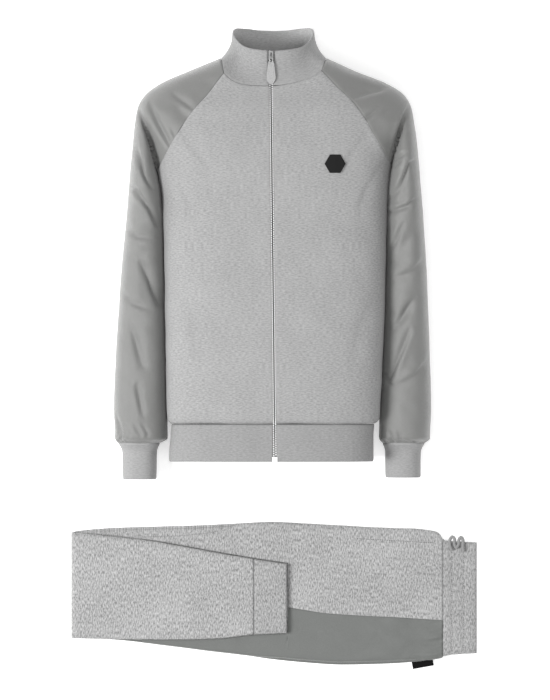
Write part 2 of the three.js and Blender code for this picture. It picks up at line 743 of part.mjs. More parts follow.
function collar() {
  const base = spaced(neckLoop(), COLLAR_COLUMNS).map((p) => {
    const towards = new THREE.Vector3(-p.x, NECK_HEART_Y - p.y, 0).normalize();
    return p.addScaledVector(towards, COLLAR_GAP);
  });
  const rows = COLLAR_ROWS.map((share) =>
    base.map((p, j) => {
      const point = collarPoint(p, share);
      if (j === 0) point.x = ZIP_TOP_X - ZIP_PANEL_EDGE;
      if (j === COLLAR_COLUMNS) point.x = ZIP_TOP_X + ZIP_PANEL_EDGE;
      return point;
    }),
  );
  return wall(rows, RIB, (p) => new THREE.Vector3(0, p.y, 72), { level: [0] });
}

// Line of the zip on the front of the jacket, from the collar rim to the hem
function zipHeight(y) {
  const neckY = NECK_SEAM.left[0].y;
  const neckZ = heights(0, neckY).front;
  if (y > neckY) {
    const share = (y - neckY) / (RIM_Y[0].y - neckY);
    return mix(neckZ, RIM_CENTRE_Z + RIM_HALF_DEPTH, 1 - (1 - share) ** COLLAR_EASE);
  }
  if (y > HEM_SEAM_Y) return heights(0, y).front;
  return along(HEM_ROWS, "y", "depth", y);
}

// Stations along the zip: at the collar's rows, then down the front and the hem
const ZIP_STATIONS = COLLAR_ROWS.map((share) => mix(444, RIM_Y[0].y, share)).reverse();
ZIP_STATIONS.push(425, 400, 370, 335, 290, 200, 90, -10, -60, -95, -119, -126.8, -145, -165, -181.6);

// Bar along the zip: two edges across it, each with its depth under the cloth's surface, and a thickness
function zipBar(inner, outer, thick) {
  const pair = (y, down) =>
    [inner, outer].map((edge) => new THREE.Vector3(zipX(y) + edge.x, y, zipHeight(y) - edge.under - down));
  return solidBetween(
    ZIP_STATIONS.map((y) => pair(y, 0)),
    ZIP_STATIONS.map((y) => pair(y, thick)),
    false,
  );
}

function zipTape(sign) {
  const inner = { x: sign * TAPE.inner, under: TAPE.under };
  const outer = { x: sign * TAPE.outer, under: TAPE.under + TAPE.tilt };
  return zipBar(inner, outer, TAPE.thick);
}

function zipChain() {
  return zipBar({ x: -CHAIN.half, under: CHAIN.under }, { x: CHAIN.half, under: CHAIN.under }, CHAIN.thick);
}

function zipBox() {
  const y = (BOX.top + BOX.bottom) / 2;
  const high = BOX.under + BOX.over;
  const box = new THREE.BoxGeometry(2 * BOX.half, BOX.top - BOX.bottom, high);
  box.translate(zipX(y), y, zipHeight(y) + BOX.over - high / 2);
  return box;
}

// Joins closed geometries into one solid
function manifoldOf(geometry) {
  const bare = geometry.clone();
  bare.deleteAttribute("normal");
  bare.deleteAttribute("uv");
  const merged = mergeVertices(bare, 1e-4);
  const vertProperties = merged.attributes.position.array;
  const triVerts = new Uint32Array(merged.index.array);
  return new wasm.Manifold(new wasm.Mesh({ numProp: 3, vertProperties, triVerts }));
}

function joined(...geometries) {
  const mesh = geometries.map(manifoldOf).reduce((whole, solid) => whole.add(solid)).getMesh();
  const made = new THREE.BufferGeometry();
  made.setAttribute("position", new THREE.Float32BufferAttribute(Float32Array.from(mesh.vertProperties), 3));
  made.setIndex(Array.from(mesh.triVerts));
  return made;
}

// Slider: a channel over the chain, with a bridge that the bar of the pull tab passes under
function sliderBody() {
  const { half, flange, below, over, plate, chamfer, length } = SLIDER;
  const outline = [
    [-half, -below],
    [flange - half, -below],
    [flange - half, over - plate],
    [half - flange, over - plate],
    [half - flange, -below],
    [half, -below],
    [half, over - chamfer],
    [half - chamfer, over],
    [chamfer - half, over],
    [-half, over - chamfer],
  ];
  const profile = new THREE.Shape(outline.map(([x, y]) => new THREE.Vector2(x, y)));
  const channel = new THREE.ExtrudeGeometry(profile, { depth: length, bevelEnabled: false });
  channel.rotateX(Math.PI / 2);
  channel.translate(0, length / 2, 0);
  const foot = over - 0.3;
  const { back, front, wall: thick, high } = BRIDGE;
  const side = new THREE.Shape();
  side.moveTo(-back, foot);
  side.lineTo(-back + 0.2, foot + high * 0.7);
  side.quadraticCurveTo(-back + 0.8, foot + high, -back + 3, foot + high);
  side.quadraticCurveTo(2, foot + high - 0.3, front, foot);
  side.lineTo(front - 1.5 * thick, foot);
  side.quadraticCurveTo(1, foot + high - 1.4, -back + 3.6, foot + high - thick);
  side.quadraticCurveTo(-back + 1.4, foot + high - thick, -back + 1.2, foot + high / 2);
  side.lineTo(-back + thick, foot);
  const across = { depth: BRIDGE.width, bevelEnabled: false, curveSegments: 5 };
  const bridge = new THREE.ExtrudeGeometry(side, across);
  const turned = new THREE.Matrix4().makeBasis(
    new THREE.Vector3(0, 1, 0),
    new THREE.Vector3(0, 0, 1),
    new THREE.Vector3(1, 0, 0),
  );
  bridge.applyMatrix4(turned);
  bridge.translate(-BRIDGE.width / 2, 0, 0);
  return joined(channel, bridge);
}

// Pull tab: a bar in the bridge, an open eye and a drop-shaped plate, drawn down from the hinge line
function pullTab() {
  const { thick, length, reach, shoulder, slot, eye } = TAB;
  const { half: barHalf, back: barBack } = TAB_BAR;
  const outline = new THREE.Shape();
  outline.moveTo(barHalf, barBack);
  outline.lineTo(barHalf, -2);
  outline.quadraticCurveTo(barHalf, -5, shoulder, -eye - 1.5);
  outline.lineTo(reach, -0.7 * length);
  outline.bezierCurveTo(reach + 0.3, -0.87 * length, 0.5 * reach, -0.97 * length, 0, -length);
  outline.bezierCurveTo(-0.5 * reach, -0.97 * length, -reach - 0.3, -0.87 * length, -reach, -0.7 * length);
  outline.lineTo(-shoulder, -eye - 1.5);
  outline.quadraticCurveTo(-barHalf, -5, -barHalf, -2);
  outline.lineTo(-barHalf, barBack);
  const hole = new THREE.Path();
  hole.moveTo(-slot, -barBack);
  hole.lineTo(-slot, -eye + 1);
  hole.quadraticCurveTo(0, -eye - 0.6, slot, -eye + 1);
  hole.lineTo(slot, -barBack);
  outline.holes.push(hole);
  const plate = new THREE.ExtrudeGeometry(outline, { depth: thick, bevelEnabled: false, curveSegments: 8 });
  plate.translate(0, 0, -thick / 2);
  return plate;
}

// Badge: a hexagon with flat top and bottom that follows the cloth under it
function badge() {
  const places = [{ x: 0, y: 0 }];
  for (let ring = 1; ring <= BADGE.rings; ring += 1) {
    for (let i = 0; i < 6 * BADGE.steps; i += 1) {
      const angle = (i * Math.PI) / (3 * BADGE.steps);
      const turn = (angle % (Math.PI / 3)) - Math.PI / 6;
      const radius = ((BADGE.radius * Math.cos(Math.PI / 6)) / Math.cos(turn)) * (ring / BADGE.rings);
      places.push({ x: radius * Math.cos(angle), y: radius * Math.sin(angle) });
    }
  }
  const count = places.length;
  const around = 6 * BADGE.steps;
  const points = [];
  for (const lift of [LIFT + BADGE.thick, LIFT]) {
    for (const place of places) {
      const x = BADGE.x + place.x;
      const y = BADGE.y + place.y;
      points.push(x, y, heights(x, y).front + lift);
    }
  }
  const index = [];
  const at = (ring, i, under) => (ring === 0 ? 0 : 1 + (ring - 1) * around + (i % around)) + under * count;
  for (let i = 0; i < around; i += 1) {
    for (let under = 0; under < 2; under += 1) {
      const face = (a, b, c) => (under ? index.push(a, c, b) : index.push(a, b, c));
      face(at(0, 0, under), at(1, i, under), at(1, i + 1, under));
      for (let ring = 1; ring < BADGE.rings; ring += 1) {
        face(at(ring, i, under), at(ring + 1, i, under), at(ring + 1, i + 1, under));
        face(at(ring, i, under), at(ring + 1, i + 1, under), at(ring, i + 1, under));
      }
    }
    const rim = BADGE.rings;
    index.push(at(rim, i, 1), at(rim, i + 1, 0), at(rim, i, 0));
    index.push(at(rim, i, 1), at(rim, i + 1, 1), at(rim, i + 1, 0));
  }
  return facedOut(points, index);
}

// Stack of hidden plies: rings at each level of the edge table, closed by strips at the top and the bottom
function stack(table, levels, start, end, steps) {
  const count = levels.length;
  const points = [];
  for (const level of levels) {
    const low = start(level);
    const high = end - level.inset;
    const places = Array.from({ length: steps + 1 }, (_, i) => mix(low, high, i / steps));
    for (const x of places) points.push(x, along(table, "x", "bottom", x) + level.inset, level.z);
    for (const x of places) points.push(x, along(table, "x", "top", x) - level.inset, level.z);
  }
  const wide = steps + 1;
  const index = [];
  const quad = (a, b, c, d) => index.push(a, b, c, a, c, d);
  const ring = [];
  for (let i = 0; i < wide; i += 1) ring.push(i);
  for (let i = wide - 1; i >= 0; i -= 1) ring.push(wide + i);
  for (let level = 0; level < count - 1; level += 1) {
    const base = level * 2 * wide;
    ring.forEach((a, k) => {
      const b = ring[(k + 1) % ring.length];
      quad(base + a, base + b, base + 2 * wide + b, base + 2 * wide + a);
    });
  }
  const top = (count - 1) * 2 * wide;
  for (let i = 0; i < steps; i += 1) {
    quad(i, wide + i, wide + i + 1, i + 1);
    quad(top + i, top + i + 1, top + wide + i + 1, top + wide + i);
  }
  return facedOut(points, index);
}

function hiddenPlies() {
  const rise = LOWER_TOP_Z - PLY_JOIN;
  const upperLevels = PLY_LEVELS.map((level) => ({ z: level.z + rise, inset: level.inset }));
  upperLevels[0].inset = upperLevels[1].inset;
  const start = (level) => {
    const bottom = Math.max(0, (3 - level.z) * 1.5);
    return FOLD_X + along(FOLD_TURN, "z", "inset", level.z) + FOLD_INSET + 0.6 * level.inset + bottom;
  };
  const lower = stack(LOWER_STACK, PLY_LEVELS, start, WAIST_END_X, 26);
  const upper = stack(UPPER_STACK, upperLevels, start, ANKLE_END_X, 10);
  return joined(lower, upper);
}

// Outer ply over a stack: columns across between two edges, which are seams or turn down over the plies
function ply(places, top, thick, low, high, ends = {}) {
  const turns = [
    { inset: 0, drop: PLY_TURN },
    { inset: 0.5, drop: 3.4 },
    { inset: 2.2, drop: 1.1 },
    { inset: 6, drop: 0.1 },
  ];
  const seams = [
    { inset: 0, drop: 0.15 },
    { inset: PLY_EDGE, drop: 0 },
  ];
  const rows = places.map(({ x, drop = 0 }) => {
    const from = low.at(x);
    const to = high.at(x);
    const scale = Math.min(1, (to - from) / 24);
    const turned = high.turned ? high.turned(x) : 1;
    const row = [];
    const put = (y, down) => row.push(new THREE.Vector3(x, y, top - Math.max(down, drop)));
    const far = [...(high.seam ? seams : turns)].reverse();
    for (const turn of low.seam ? seams : turns) put(from + turn.inset * scale, turn.drop);
    for (let i = 1; i < PLY_COLUMNS; i += 1) {
      put(mix(from + PLY_EDGE * scale, to - PLY_EDGE * scale, i / PLY_COLUMNS), 0);
    }
    for (const turn of far) put(to - turn.inset * scale, turn.drop * turned);
    return row;
  });
  return wall(rows, thick, (p) => new THREE.Vector3(p.x, -420, -200), ends);
}

const outlineEdge = (table, column) => ({ seam: false, at: (x) => along(table, "x", column, x) });
const seamEdge = (at) => ({ seam: true, at });
const KNIT_TOP = LOWER_TOP_Z + LIFT + KNIT;
const NYLON_TOP = LOWER_TOP_Z + LIFT + NYLON;
const UPPER_TOP = 2 * LOWER_TOP_Z - PLY_JOIN + LIFT + KNIT;
const WAIST_TOP = LOWER_TOP_Z + LIFT + RIB;

// Visible edge of the legs' knit ply along the top: inside the outline up to the far end of the fold
function knitEdge(x) {
  return x < -60 ? along(KNIT_EDGE, "x", "y", x) : along(LOWER_STACK, "x", "top", x);
}

const legPlaces = (list) => list.map((x) => ({ x }));

function legKnit() {
  const beside = (x) => along(UPPER_STACK, "x", "top", x) + PLY_CLEAR;
  const seam = (x) => along(NYLON_SEAM, "x", "y", x) + SEAM_GAP / 2;
  const low = seamEdge((x) => (x < ANKLE_END_X + 1 ? beside(x) : seam(x)));
  const high = { seam: false, at: knitEdge, turned: (x) => smoothstep((x + 58) / 30) };
  const beforeCuff = [-225, -180, -130, -80, -58, -40, 0, ANKLE_END_X + 0.9];
  const afterCuff = [ANKLE_END_X + 2.2, 60, 120, 180, 230, 255, 274, WAIST_SEAM_X - SEAM_GAP];
  return ply(legPlaces([...beforeCuff, ...afterCuff]), KNIT_TOP, KNIT, low, high);
}

function legNylon() {
  const beside = (x) => along(UPPER_STACK, "x", "bottom", x) - PLY_CLEAR;
  const seam = (x) => along(NYLON_SEAM, "x", "y", x) - SEAM_GAP / 2;
  const high = seamEdge((x) => (x < ANKLE_END_X + 1 ? beside(x) : seam(x)));
  const beforeCuff = [-225, -180, -130, -80, -40, 0, ANKLE_END_X + 0.9];
  const afterCuff = [ANKLE_END_X + 2.2, 60, 110, 160, 210, 255, 278, WAIST_SEAM_X - SEAM_GAP];
  const low = outlineEdge(LOWER_STACK, "bottom");
  return ply(legPlaces([...beforeCuff, ...afterCuff]), NYLON_TOP, NYLON, low, high);
}

// Lower legs folded back: the top ply, which turns round the fold down to the surface
function foldedLeg() {
  const turn = FOLD_TURN.map((row) => ({ x: FOLD_X + row.inset, drop: UPPER_TOP - row.z }));
  const flat = legPlaces([-325, -285, -245, -205, -165, -125, -90, -60, ANKLE_SEAM_X - SEAM_GAP]);
  const low = outlineEdge(UPPER_STACK, "bottom");
  const high = outlineEdge(UPPER_STACK, "top");
  return ply([...turn, ...flat], UPPER_TOP, KNIT, low, high);
}

function ankleCuff() {
  const low = outlineEdge(UPPER_STACK, "bottom");
  const high = outlineEdge(UPPER_STACK, "top");
  const end = [
    { x: ANKLE_END_X - 2, drop: 0.8 },
    { x: ANKLE_END_X - 0.5, drop: 3 },
    { x: ANKLE_END_X, drop: PLY_TURN },
  ];
  const flat = legPlaces([ANKLE_SEAM_X, ANKLE_SEAM_X + 18, ANKLE_END_X - 18, ANKLE_END_X - 7]);
  return ply([...flat, ...end], UPPER_TOP, KNIT, low, high);
}

function waistband() {
  const low = outlineEdge(LOWER_STACK, "bottom");
  const high = outlineEdge(LOWER_STACK, "top");
  const end = [
    { x: WAIST_END_X - 2.4, drop: 0.8 },
    { x: WAIST_END_X - 0.6, drop: 3 },
    { x: WAIST_END_X, drop: PLY_TURN },
  ];
  const start = [WAIST_SEAM_X, WAIST_SEAM_X + 8, WAIST_SEAM_X + 22];
  const flat = legPlaces([...start, WAIST_END_X - 20, WAIST_END_X - 8]);
  return ply([...flat, ...end], WAIST_TOP, RIB, low, high);
}

// Side label: a small plain tag that stands out of the side seam near the waistband
function sideLabel() {
  return new THREE.BoxGeometry(LABEL.length, LABEL.width, LABEL.thick);
}

function drawstring() {
  const path = new THREE.CatmullRomCurve3(DRAWSTRING.map((p) => new THREE.Vector3(p.x, p.y, p.z)));
  const round = new THREE.Shape();
  for (let i = 0; i < 8; i += 1) {
    const angle = (i * Math.PI) / 4;
    const x = CORD_RADIUS * Math.cos(angle);
    const y = CORD_RADIUS * Math.sin(angle);
    if (i === 0) round.moveTo(x, y);
    else round.lineTo(x, y);
  }
  return new THREE.ExtrudeGeometry(round, { steps: 26, extrudePath: path, bevelEnabled: false });
}

tracksuit.name = "tracksuit";
add("jacket_front_left", frontPanel("left"), "knit");
add("jacket_front_right", frontPanel("right"), "knit");
add("jacket_back", backPanel(), "knit");
add("jacket_sleeve_left", sleeve("left"), "sleeve");
add("jacket_sleeve_right", sleeve("right"), "sleeve");
add("jacket_collar", collar(), "rib");
add("jacket_hem_band", hemBand(), "rib");
add("jacket_cuff_left", cuff("left"), "rib");
add("jacket_cuff_right", cuff("right"), "rib");
add("zip_tape_left", zipTape(-1), "tape");
add("zip_tape_right", zipTape(1), "tape");
add("zip_chain", zipChain(), "metal");
add("zip_box", zipBox(), "metal");
add("chest_badge", badge(), "badge");

const sliderPlace = new THREE.Vector3(zipX(SLIDER.y), SLIDER.y, zipHeight(SLIDER.y));
add("zip_slider", sliderBody(), "metal", { position: sliderPlace });
const hinge = new THREE.Vector3(0, -HINGE.back, SLIDER.over + HINGE.over).add(sliderPlace);
const tabTurn = new THREE.Euler(-THREE.MathUtils.degToRad(TAB.tilt), 0, 0);
add("zip_pull_tab", pullTab(), "metal", { position: hinge, rotation: tabTurn });

add("trousers_hidden_plies", hiddenPlies(), "knit");
add("trousers_leg_knit", legKnit(), "knit");
add("trousers_leg_side", legNylon(), "legside");
add("trousers_folded_leg", foldedLeg(), "knit");
add("trousers_ankle_cuff", ankleCuff(), "rib");
add("trousers_waistband", waistband(), "rib");
add("trousers_drawstring", drawstring(), "cord");
const labelTurn = new THREE.Euler(0, 0, THREE.MathUtils.degToRad(LABEL.turn));
const labelPlace = new THREE.Vector3(LABEL.x, LABEL.y, LABEL.z);
add("trousers_side_label", sideLabel(), "badge", { position: labelPlace, rotation: labelTurn });

export default tracksuit;
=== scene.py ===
"""Looks of a zip-front tracksuit laid out as a set: cloth, folds, seams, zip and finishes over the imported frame.

Tables and forms are in millimetres, as in the part's source, and become metres when a mesh is made.
"""

from __future__ import annotations

import logging
import math
from dataclasses import dataclass
from enum import Enum
from typing import Callable, Iterable, Sequence

import bmesh
import bpy
import numpy as np
from mathutils import Matrix, Vector


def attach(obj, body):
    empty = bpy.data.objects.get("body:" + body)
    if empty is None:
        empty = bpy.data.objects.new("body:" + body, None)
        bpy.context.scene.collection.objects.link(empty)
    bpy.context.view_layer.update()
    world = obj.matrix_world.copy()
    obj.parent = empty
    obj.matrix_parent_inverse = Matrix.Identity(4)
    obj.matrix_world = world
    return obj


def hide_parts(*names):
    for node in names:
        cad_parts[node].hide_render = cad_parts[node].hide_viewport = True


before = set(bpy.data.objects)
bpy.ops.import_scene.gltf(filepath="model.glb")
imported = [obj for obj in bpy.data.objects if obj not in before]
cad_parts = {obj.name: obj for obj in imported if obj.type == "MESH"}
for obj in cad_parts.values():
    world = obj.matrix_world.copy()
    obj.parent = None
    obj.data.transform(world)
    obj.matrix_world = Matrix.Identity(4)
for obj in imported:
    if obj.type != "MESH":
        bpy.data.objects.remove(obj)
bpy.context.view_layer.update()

logging.basicConfig(level=logging.INFO, format="%(message)s")
log = logging.getLogger("tracksuit")

MM = 0.001
BODY = "garments"
Number = float | np.ndarray
Socket = float | Sequence[float] | bpy.types.NodeSocket


class Side(Enum):
    """A side of the jacket as the set is seen from above."""

    LEFT = "left"
    RIGHT = "right"

    @property
    def sign(self) -> int:
        """Direction of this side along X."""
        return -1 if self is Side.LEFT else 1


def mix(a: Number, b: Number, t: Number) -> Number:
    """Value between a and b at share t."""
    return a + (b - a) * t


def smoothstep(t: Number) -> Number:
    """Soft step from 0 to 1 of a number or an array."""
    t = np.clip(t, 0.0, 1.0)
    return t * t * (3 - 2 * t)


def arc_of(share: Number, power: float) -> Number:
    """Height of a rounded section at a share of its half width; a higher power is squarer."""
    return np.clip(1 - np.minimum(1, np.abs(share)) ** power, 0, 1) ** (1 / power)


class Table:
    """A short table with named columns, read along its first column by a smooth line that never overshoots."""

    def __init__(self, columns: str, *rows: Sequence[float]) -> None:
        """Args:
            columns: names, the key first.
            rows: one tuple for each place along the key.
        """
        names = columns.split()
        ordered = sorted(rows, key=lambda row: row[0])
        self.keys = np.array([row[0] for row in ordered], float)
        self.columns = {name: np.array([row[i + 1] for row in ordered], float) for i, name in enumerate(names[1:])}

    def at(self, column: str, where: Number) -> np.ndarray:
        """Args:
            column: name of the column.
            where: place or places along the key.

        Returns:
            The column's value there, as an array of the same shape.
        """
        keys, values = self.keys, self.columns[column]
        where = np.clip(np.asarray(where, float), keys[0], keys[-1])
        slope = np.diff(values) / np.diff(keys)
        tangent = np.zeros_like(values)
        tangent[0], tangent[-1] = slope[0], slope[-1]
        product, total = slope[:-1] * slope[1:], slope[:-1] + slope[1:]
        tangent[1:-1] = np.where(product > 0, 2 * product / np.where(total == 0, 1, total), 0)
        i = np.clip(np.searchsorted(keys, where, side="right") - 1, 0, len(keys) - 2)
        step = keys[i + 1] - keys[i]
        t = (where - keys[i]) / step
        start = (1 + 2 * t) * (1 - t) ** 2 * values[i] + t * (1 - t) ** 2 * step * tangent[i]
        end = t**2 * (3 - 2 * t) * values[i + 1] + t**2 * (t - 1) * step * tangent[i + 1]
        return start + end


def spaced(points: np.ndarray, count: int, gathered: float = 0.0, guide: np.ndarray | None = None) -> np.ndarray:
    """Points spaced along a line of points, evenly or closer together at both ends.

    Args:
        points: the line, as rows of x, y, z.
        count: how many spans.
        gathered: 0 for even spans, 1 for spans that shrink towards both ends.
        guide: a plainer line with as many points, whose length is used for the spacing instead.

    Returns:
        count + 1 points.
    """
    steps = np.diff(points if guide is None else guide, axis=0)
    length = np.concatenate([[0], np.cumsum(np.linalg.norm(steps, axis=1))])
    even = np.linspace(0, 1, count + 1)
    share = mix(even, smoothstep(even), gathered) * length[-1]
    return np.stack([np.interp(share, length, points[:, k]) for k in range(3)], axis=1)


@dataclass(frozen=True)
class Fold:
    """A trough in cloth along a line in plan, steeper on the side where it has a low ridge."""

    depth: float
    width: float
    line: tuple[tuple[float, float], ...]
    ridge: float = 0.35
    steep: float = 0.55

    def drop(self, x: np.ndarray, y: np.ndarray) -> np.ndarray:
        """Depth of the trough, less its ridge, at places in plan."""
        best = np.full(x.shape, 1e9)
        aside = np.zeros(x.shape)
        along = np.zeros(x.shape)
        spans = np.hypot(*np.diff(np.array(self.line), axis=0).T)
        walked = np.concatenate([[0], np.cumsum(spans)])
        for i, span in enumerate(spans):
            (x0, y0), (x1, y1) = self.line[i], self.line[i + 1]
            dx, dy = (x1 - x0) / span, (y1 - y0) / span
            reach = np.clip((x - x0) * dx + (y - y0) * dy, 0, span)
            away = np.hypot(x - x0 - reach * dx, y - y0 - reach * dy)
            nearer = away < best
            best = np.where(nearer, away, best)
            aside = np.where(nearer, (x - x0) * dy - (y - y0) * dx, aside)
            along = np.where(nearer, (walked[i] + reach) / walked[-1], along)
        taper = np.sin(np.pi * np.clip(0.12 + 0.76 * along, 0, 1)) ** 0.8
        steep = self.width * np.where(aside > 0, self.steep, 2 - self.steep)
        trough = np.exp(-((best / steep) ** 2))
        past = np.maximum(best**2 - aside**2, 0) / self.width**2
        crest = self.ridge * np.exp(-(((aside - 1.7 * self.width) / (1.1 * self.width)) ** 2) - past)
        return self.depth * taper * (trough - crest)


def grid_normals(
    points: np.ndarray, centre: Callable[[np.ndarray], np.ndarray], closed: bool
) -> tuple[np.ndarray, int]:
    """Args:
        points: grid of points, rows by columns.
        centre: gives the middle of the piece for the grid's points.
        closed: whether the last column repeats the first.

    Returns:
        Unit normals that point away from the middle, and the grid's own sense as 1 or -1.
    """
    across = np.gradient(points, axis=1)
    if closed:
        joined = (points[:, 1] - points[:, -2]) / 2
        across[:, 0], across[:, -1] = joined, joined
    down = np.gradient(points, axis=0)
    normals = np.cross(across, down)
    normals /= np.maximum(np.linalg.norm(normals, axis=2, keepdims=True), 1e-9)
    sense = 1 if np.sum(normals * (points - centre(points))) >= 0 else -1
    return normals * sense, sense


def waves(x: np.ndarray, y: np.ndarray, length: float, seed: int) -> np.ndarray:
    """Soft uneven waves between -1 and 1 over places in plan, about length apart."""
    rng = np.random.default_rng(seed)
    total = np.zeros(np.shape(x))
    for _ in range(7):
        angle, phase = rng.uniform(0, 2 * math.pi, 2)
        turn = 2 * math.pi / (length * rng.uniform(0.7, 1.6))
        total = total + np.sin((x * math.cos(angle) + y * math.sin(angle)) * turn + phase)
    return total / 4


@dataclass
class Cloth:
    """One sheet of cloth as a grid of outer points, shaped and then given its thickness.

    Columns run across the piece and rows along it.
    """

    name: str
    points: np.ndarray
    centre: Callable[[np.ndarray], np.ndarray]
    thick: float
    closed: bool = False
    floor: np.ndarray | float = 0.0

    def __post_init__(self) -> None:
        """Finds the outward normals."""
        self.normals, self.sense = grid_normals(self.points, self.centre, self.closed)

    @property
    def x(self) -> np.ndarray:
        """X of every point."""
        return self.points[..., 0]

    @property
    def y(self) -> np.ndarray:
        """Y of every point."""
        return self.points[..., 1]

    def push(self, amount: np.ndarray) -> None:
        """Moves every point out along its normal, but never under what the cloth lies on."""
        self.points = self.points + self.normals * np.asarray(amount)[..., None]
        self.points[..., 2] = np.maximum(self.points[..., 2], self.floor)

    def crease(self, folds: Iterable[Fold]) -> None:
        """Presses folds into the cloth where it faces up or sideways."""
        facing = smoothstep((self.normals[..., 2] + 0.05) / 0.5)
        self.push(-sum(fold.drop(self.x, self.y) for fold in folds) * facing)

    def from_edge(self, edge: str) -> np.ndarray:
        """Args:
            edge: first_column, last_column, first_row or last_row.

        Returns:
            Distance of every point along the cloth from that edge.
        """
        axis = 1 if edge.endswith("column") else 0
        step = np.linalg.norm(np.diff(self.points, axis=axis), axis=2)
        zero = np.zeros_like(np.take(self.points[..., 0], [0], axis=axis))
        walked = np.concatenate([zero, np.cumsum(step, axis=axis)], axis=axis)
        return walked if edge.startswith("first") else np.take(walked, [-1], axis=axis) - walked

    def seam(self, edge: str, depth: float = 0.9, width: float = 3.0) -> None:
        """Rolls an edge down into its seam."""
        self.push(-depth * np.exp(-((self.from_edge(edge) / width) ** 2)))

    def gather(self, edge: str, height: float, pitch: float, reach: float, seed: int) -> None:
        """Uneven gathers that start at a seam and fade away from it.

        Args:
            edge: the edge that is gathered.
            height: height of the ripples.
            pitch: mean distance between them.
            reach: how far they run into the cloth.
            seed: seed of their uneven spacing.
        """
        other = "first_row" if edge.endswith("column") else "first_column"
        along = self.from_edge(other)
        away = self.from_edge(edge)
        bent = along + 0.35 * pitch * np.sin(along / (2.3 * pitch) + seed)
        bent = bent + 0.05 * away * np.sin(along / (1.7 * pitch))
        ripple = np.sin(2 * math.pi * bent / pitch) + 0.5 * np.sin(2 * math.pi * bent / (1.63 * pitch) + seed)
        uneven = 0.65 + 0.35 * np.sin(along / (3.1 * pitch) + 2 * seed)
        reach_here = reach * (0.75 + 0.4 * np.sin(along / (1.9 * pitch) + seed))
        self.push(height * uneven * (ripple - 0.6) * np.exp(-((away / reach_here) ** 2)) * (away > 0.05))

    def area(self) -> float:
        """Area of the cloth in square metres."""
        p = self.points
        a, b = p[1:, 1:] - p[:-1, :-1], p[1:, :-1] - p[:-1, 1:]
        return float(np.linalg.norm(np.cross(a, b), axis=2).sum() / 2 * MM * MM)

    def build(self, finish: bpy.types.Material, slot: str, replaces: Sequence[str]) -> bpy.types.Object:
        """Makes the mesh.

        Args:
            finish: its material.
            slot: the record's material slot; not used.
            replaces: CAD nodes that it stands for.

        Returns:
            The finished object, riding on the garments.
        """
        rows, columns = self.points.shape[:2]
        bm = bmesh.new()
        layer = bm.loops.layers.uv.new("cloth")
        bmesh.ops.create_grid(bm, x_segments=columns - 1, y_segments=rows - 1, size=0.5)
        across = self.from_edge("first_column") * MM
        along = np.broadcast_to(self.from_edge("first_row").mean(axis=1, keepdims=True) * MM, across.shape)
        places = {}
        for vert in bm.verts:
            places[vert] = (round((vert.co.y + 0.5) * (rows - 1)), round((vert.co.x + 0.5) * (columns - 1)))
        for vert, (i, j) in places.items():
            vert.co = Vector(self.points[i, j]) * MM
        for face in bm.faces:
            face.smooth = True
            for loop in face.loops:
                i, j = places[loop.vert]
                loop[layer].uv = (across[i, j], along[i, j])
        if self.closed:
            bmesh.ops.remove_doubles(bm, verts=bm.verts, dist=1e-6)
        if self.sense < 0:
            bmesh.ops.reverse_faces(bm, faces=bm.faces)
        piece = mesh_object(self.name, bm, finish)
        shell = piece.modifiers.new("thickness", "SOLIDIFY")
        shell.thickness = self.thick * MM
        shell.offset = -1
        settle(piece, replaces)
        log.info("%s: %d x %d points, %.4f m2", self.name, rows, columns, self.area())
        return piece


def mesh_object(name: str, bm: bmesh.types.BMesh, finish: bpy.types.Material) -> bpy.types.Object:
    """Turns a bmesh into an object with its material and frees the bmesh."""
    mesh = bpy.data.meshes.new(name)
    bm.to_mesh(mesh)
    bm.free()
    mesh.materials.append(finish)
    piece = bpy.data.objects.new(name, mesh)
    bpy.context.scene.collection.objects.link(piece)
    return piece


def settle(piece: bpy.types.Object, replaces: Sequence[str] = ()) -> None:
    """Makes a piece ride on the garments and the nodes that it stands for."""
    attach(piece, BODY)
    if replaces:
        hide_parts(*replaces)


def linear(grey: float, tint: Sequence[float] = (1, 1, 1)) -> tuple[float, float, float, float]:
    """Linear colour of a grey of 0 to 255 as seen on a screen, with a slight tint."""
    value = ((grey / 255 + 0.055) / 1.055) ** 2.4
    return (value * tint[0], value * tint[1], value * tint[2], 1.0)


class Graph:
    """A node tree with short calls for adding and linking nodes."""

    def __init__(self, tree: bpy.types.NodeTree) -> None:
        """Keeps the tree."""
        self.tree = tree

    def add(self, kind: str, inputs: dict | None = None, **settings) -> bpy.types.Node:
        """Args:
            kind: Blender's name of the node.
            inputs: values or sockets for its inputs, by name or number.
            settings: attributes of the node.

        Returns:
            The node.
        """
        node = self.tree.nodes.new(kind)
        for key, value in settings.items():
            setattr(node, key, value)
        for key, value in (inputs or {}).items():
            if isinstance(value, bpy.types.NodeSocket):
                self.tree.links.new(value, node.inputs[key])
            else:
                node.inputs[key].default_value = value
        return node

    def math(self, operation: str, a: Socket, b: Socket = 0.0) -> bpy.types.NodeSocket:
        """Output socket of one sum of two values or sockets."""
        return self.add("ShaderNodeMath", {0: a, 1: b}, operation=operation).outputs[0]

    def blend(self, a: Socket, b: Socket, factor: Socket) -> bpy.types.NodeSocket:
        """Output socket of two colours mixed by a factor."""
        node = self.add("ShaderNodeMix", data_type="RGBA")
        for socket, value in ((node.inputs[0], factor), (node.inputs[6], a), (node.inputs[7], b)):
            if isinstance(value, bpy.types.NodeSocket):
                self.tree.links.new(value, socket)
            else:
                socket.default_value = value
        return node.outputs[2]


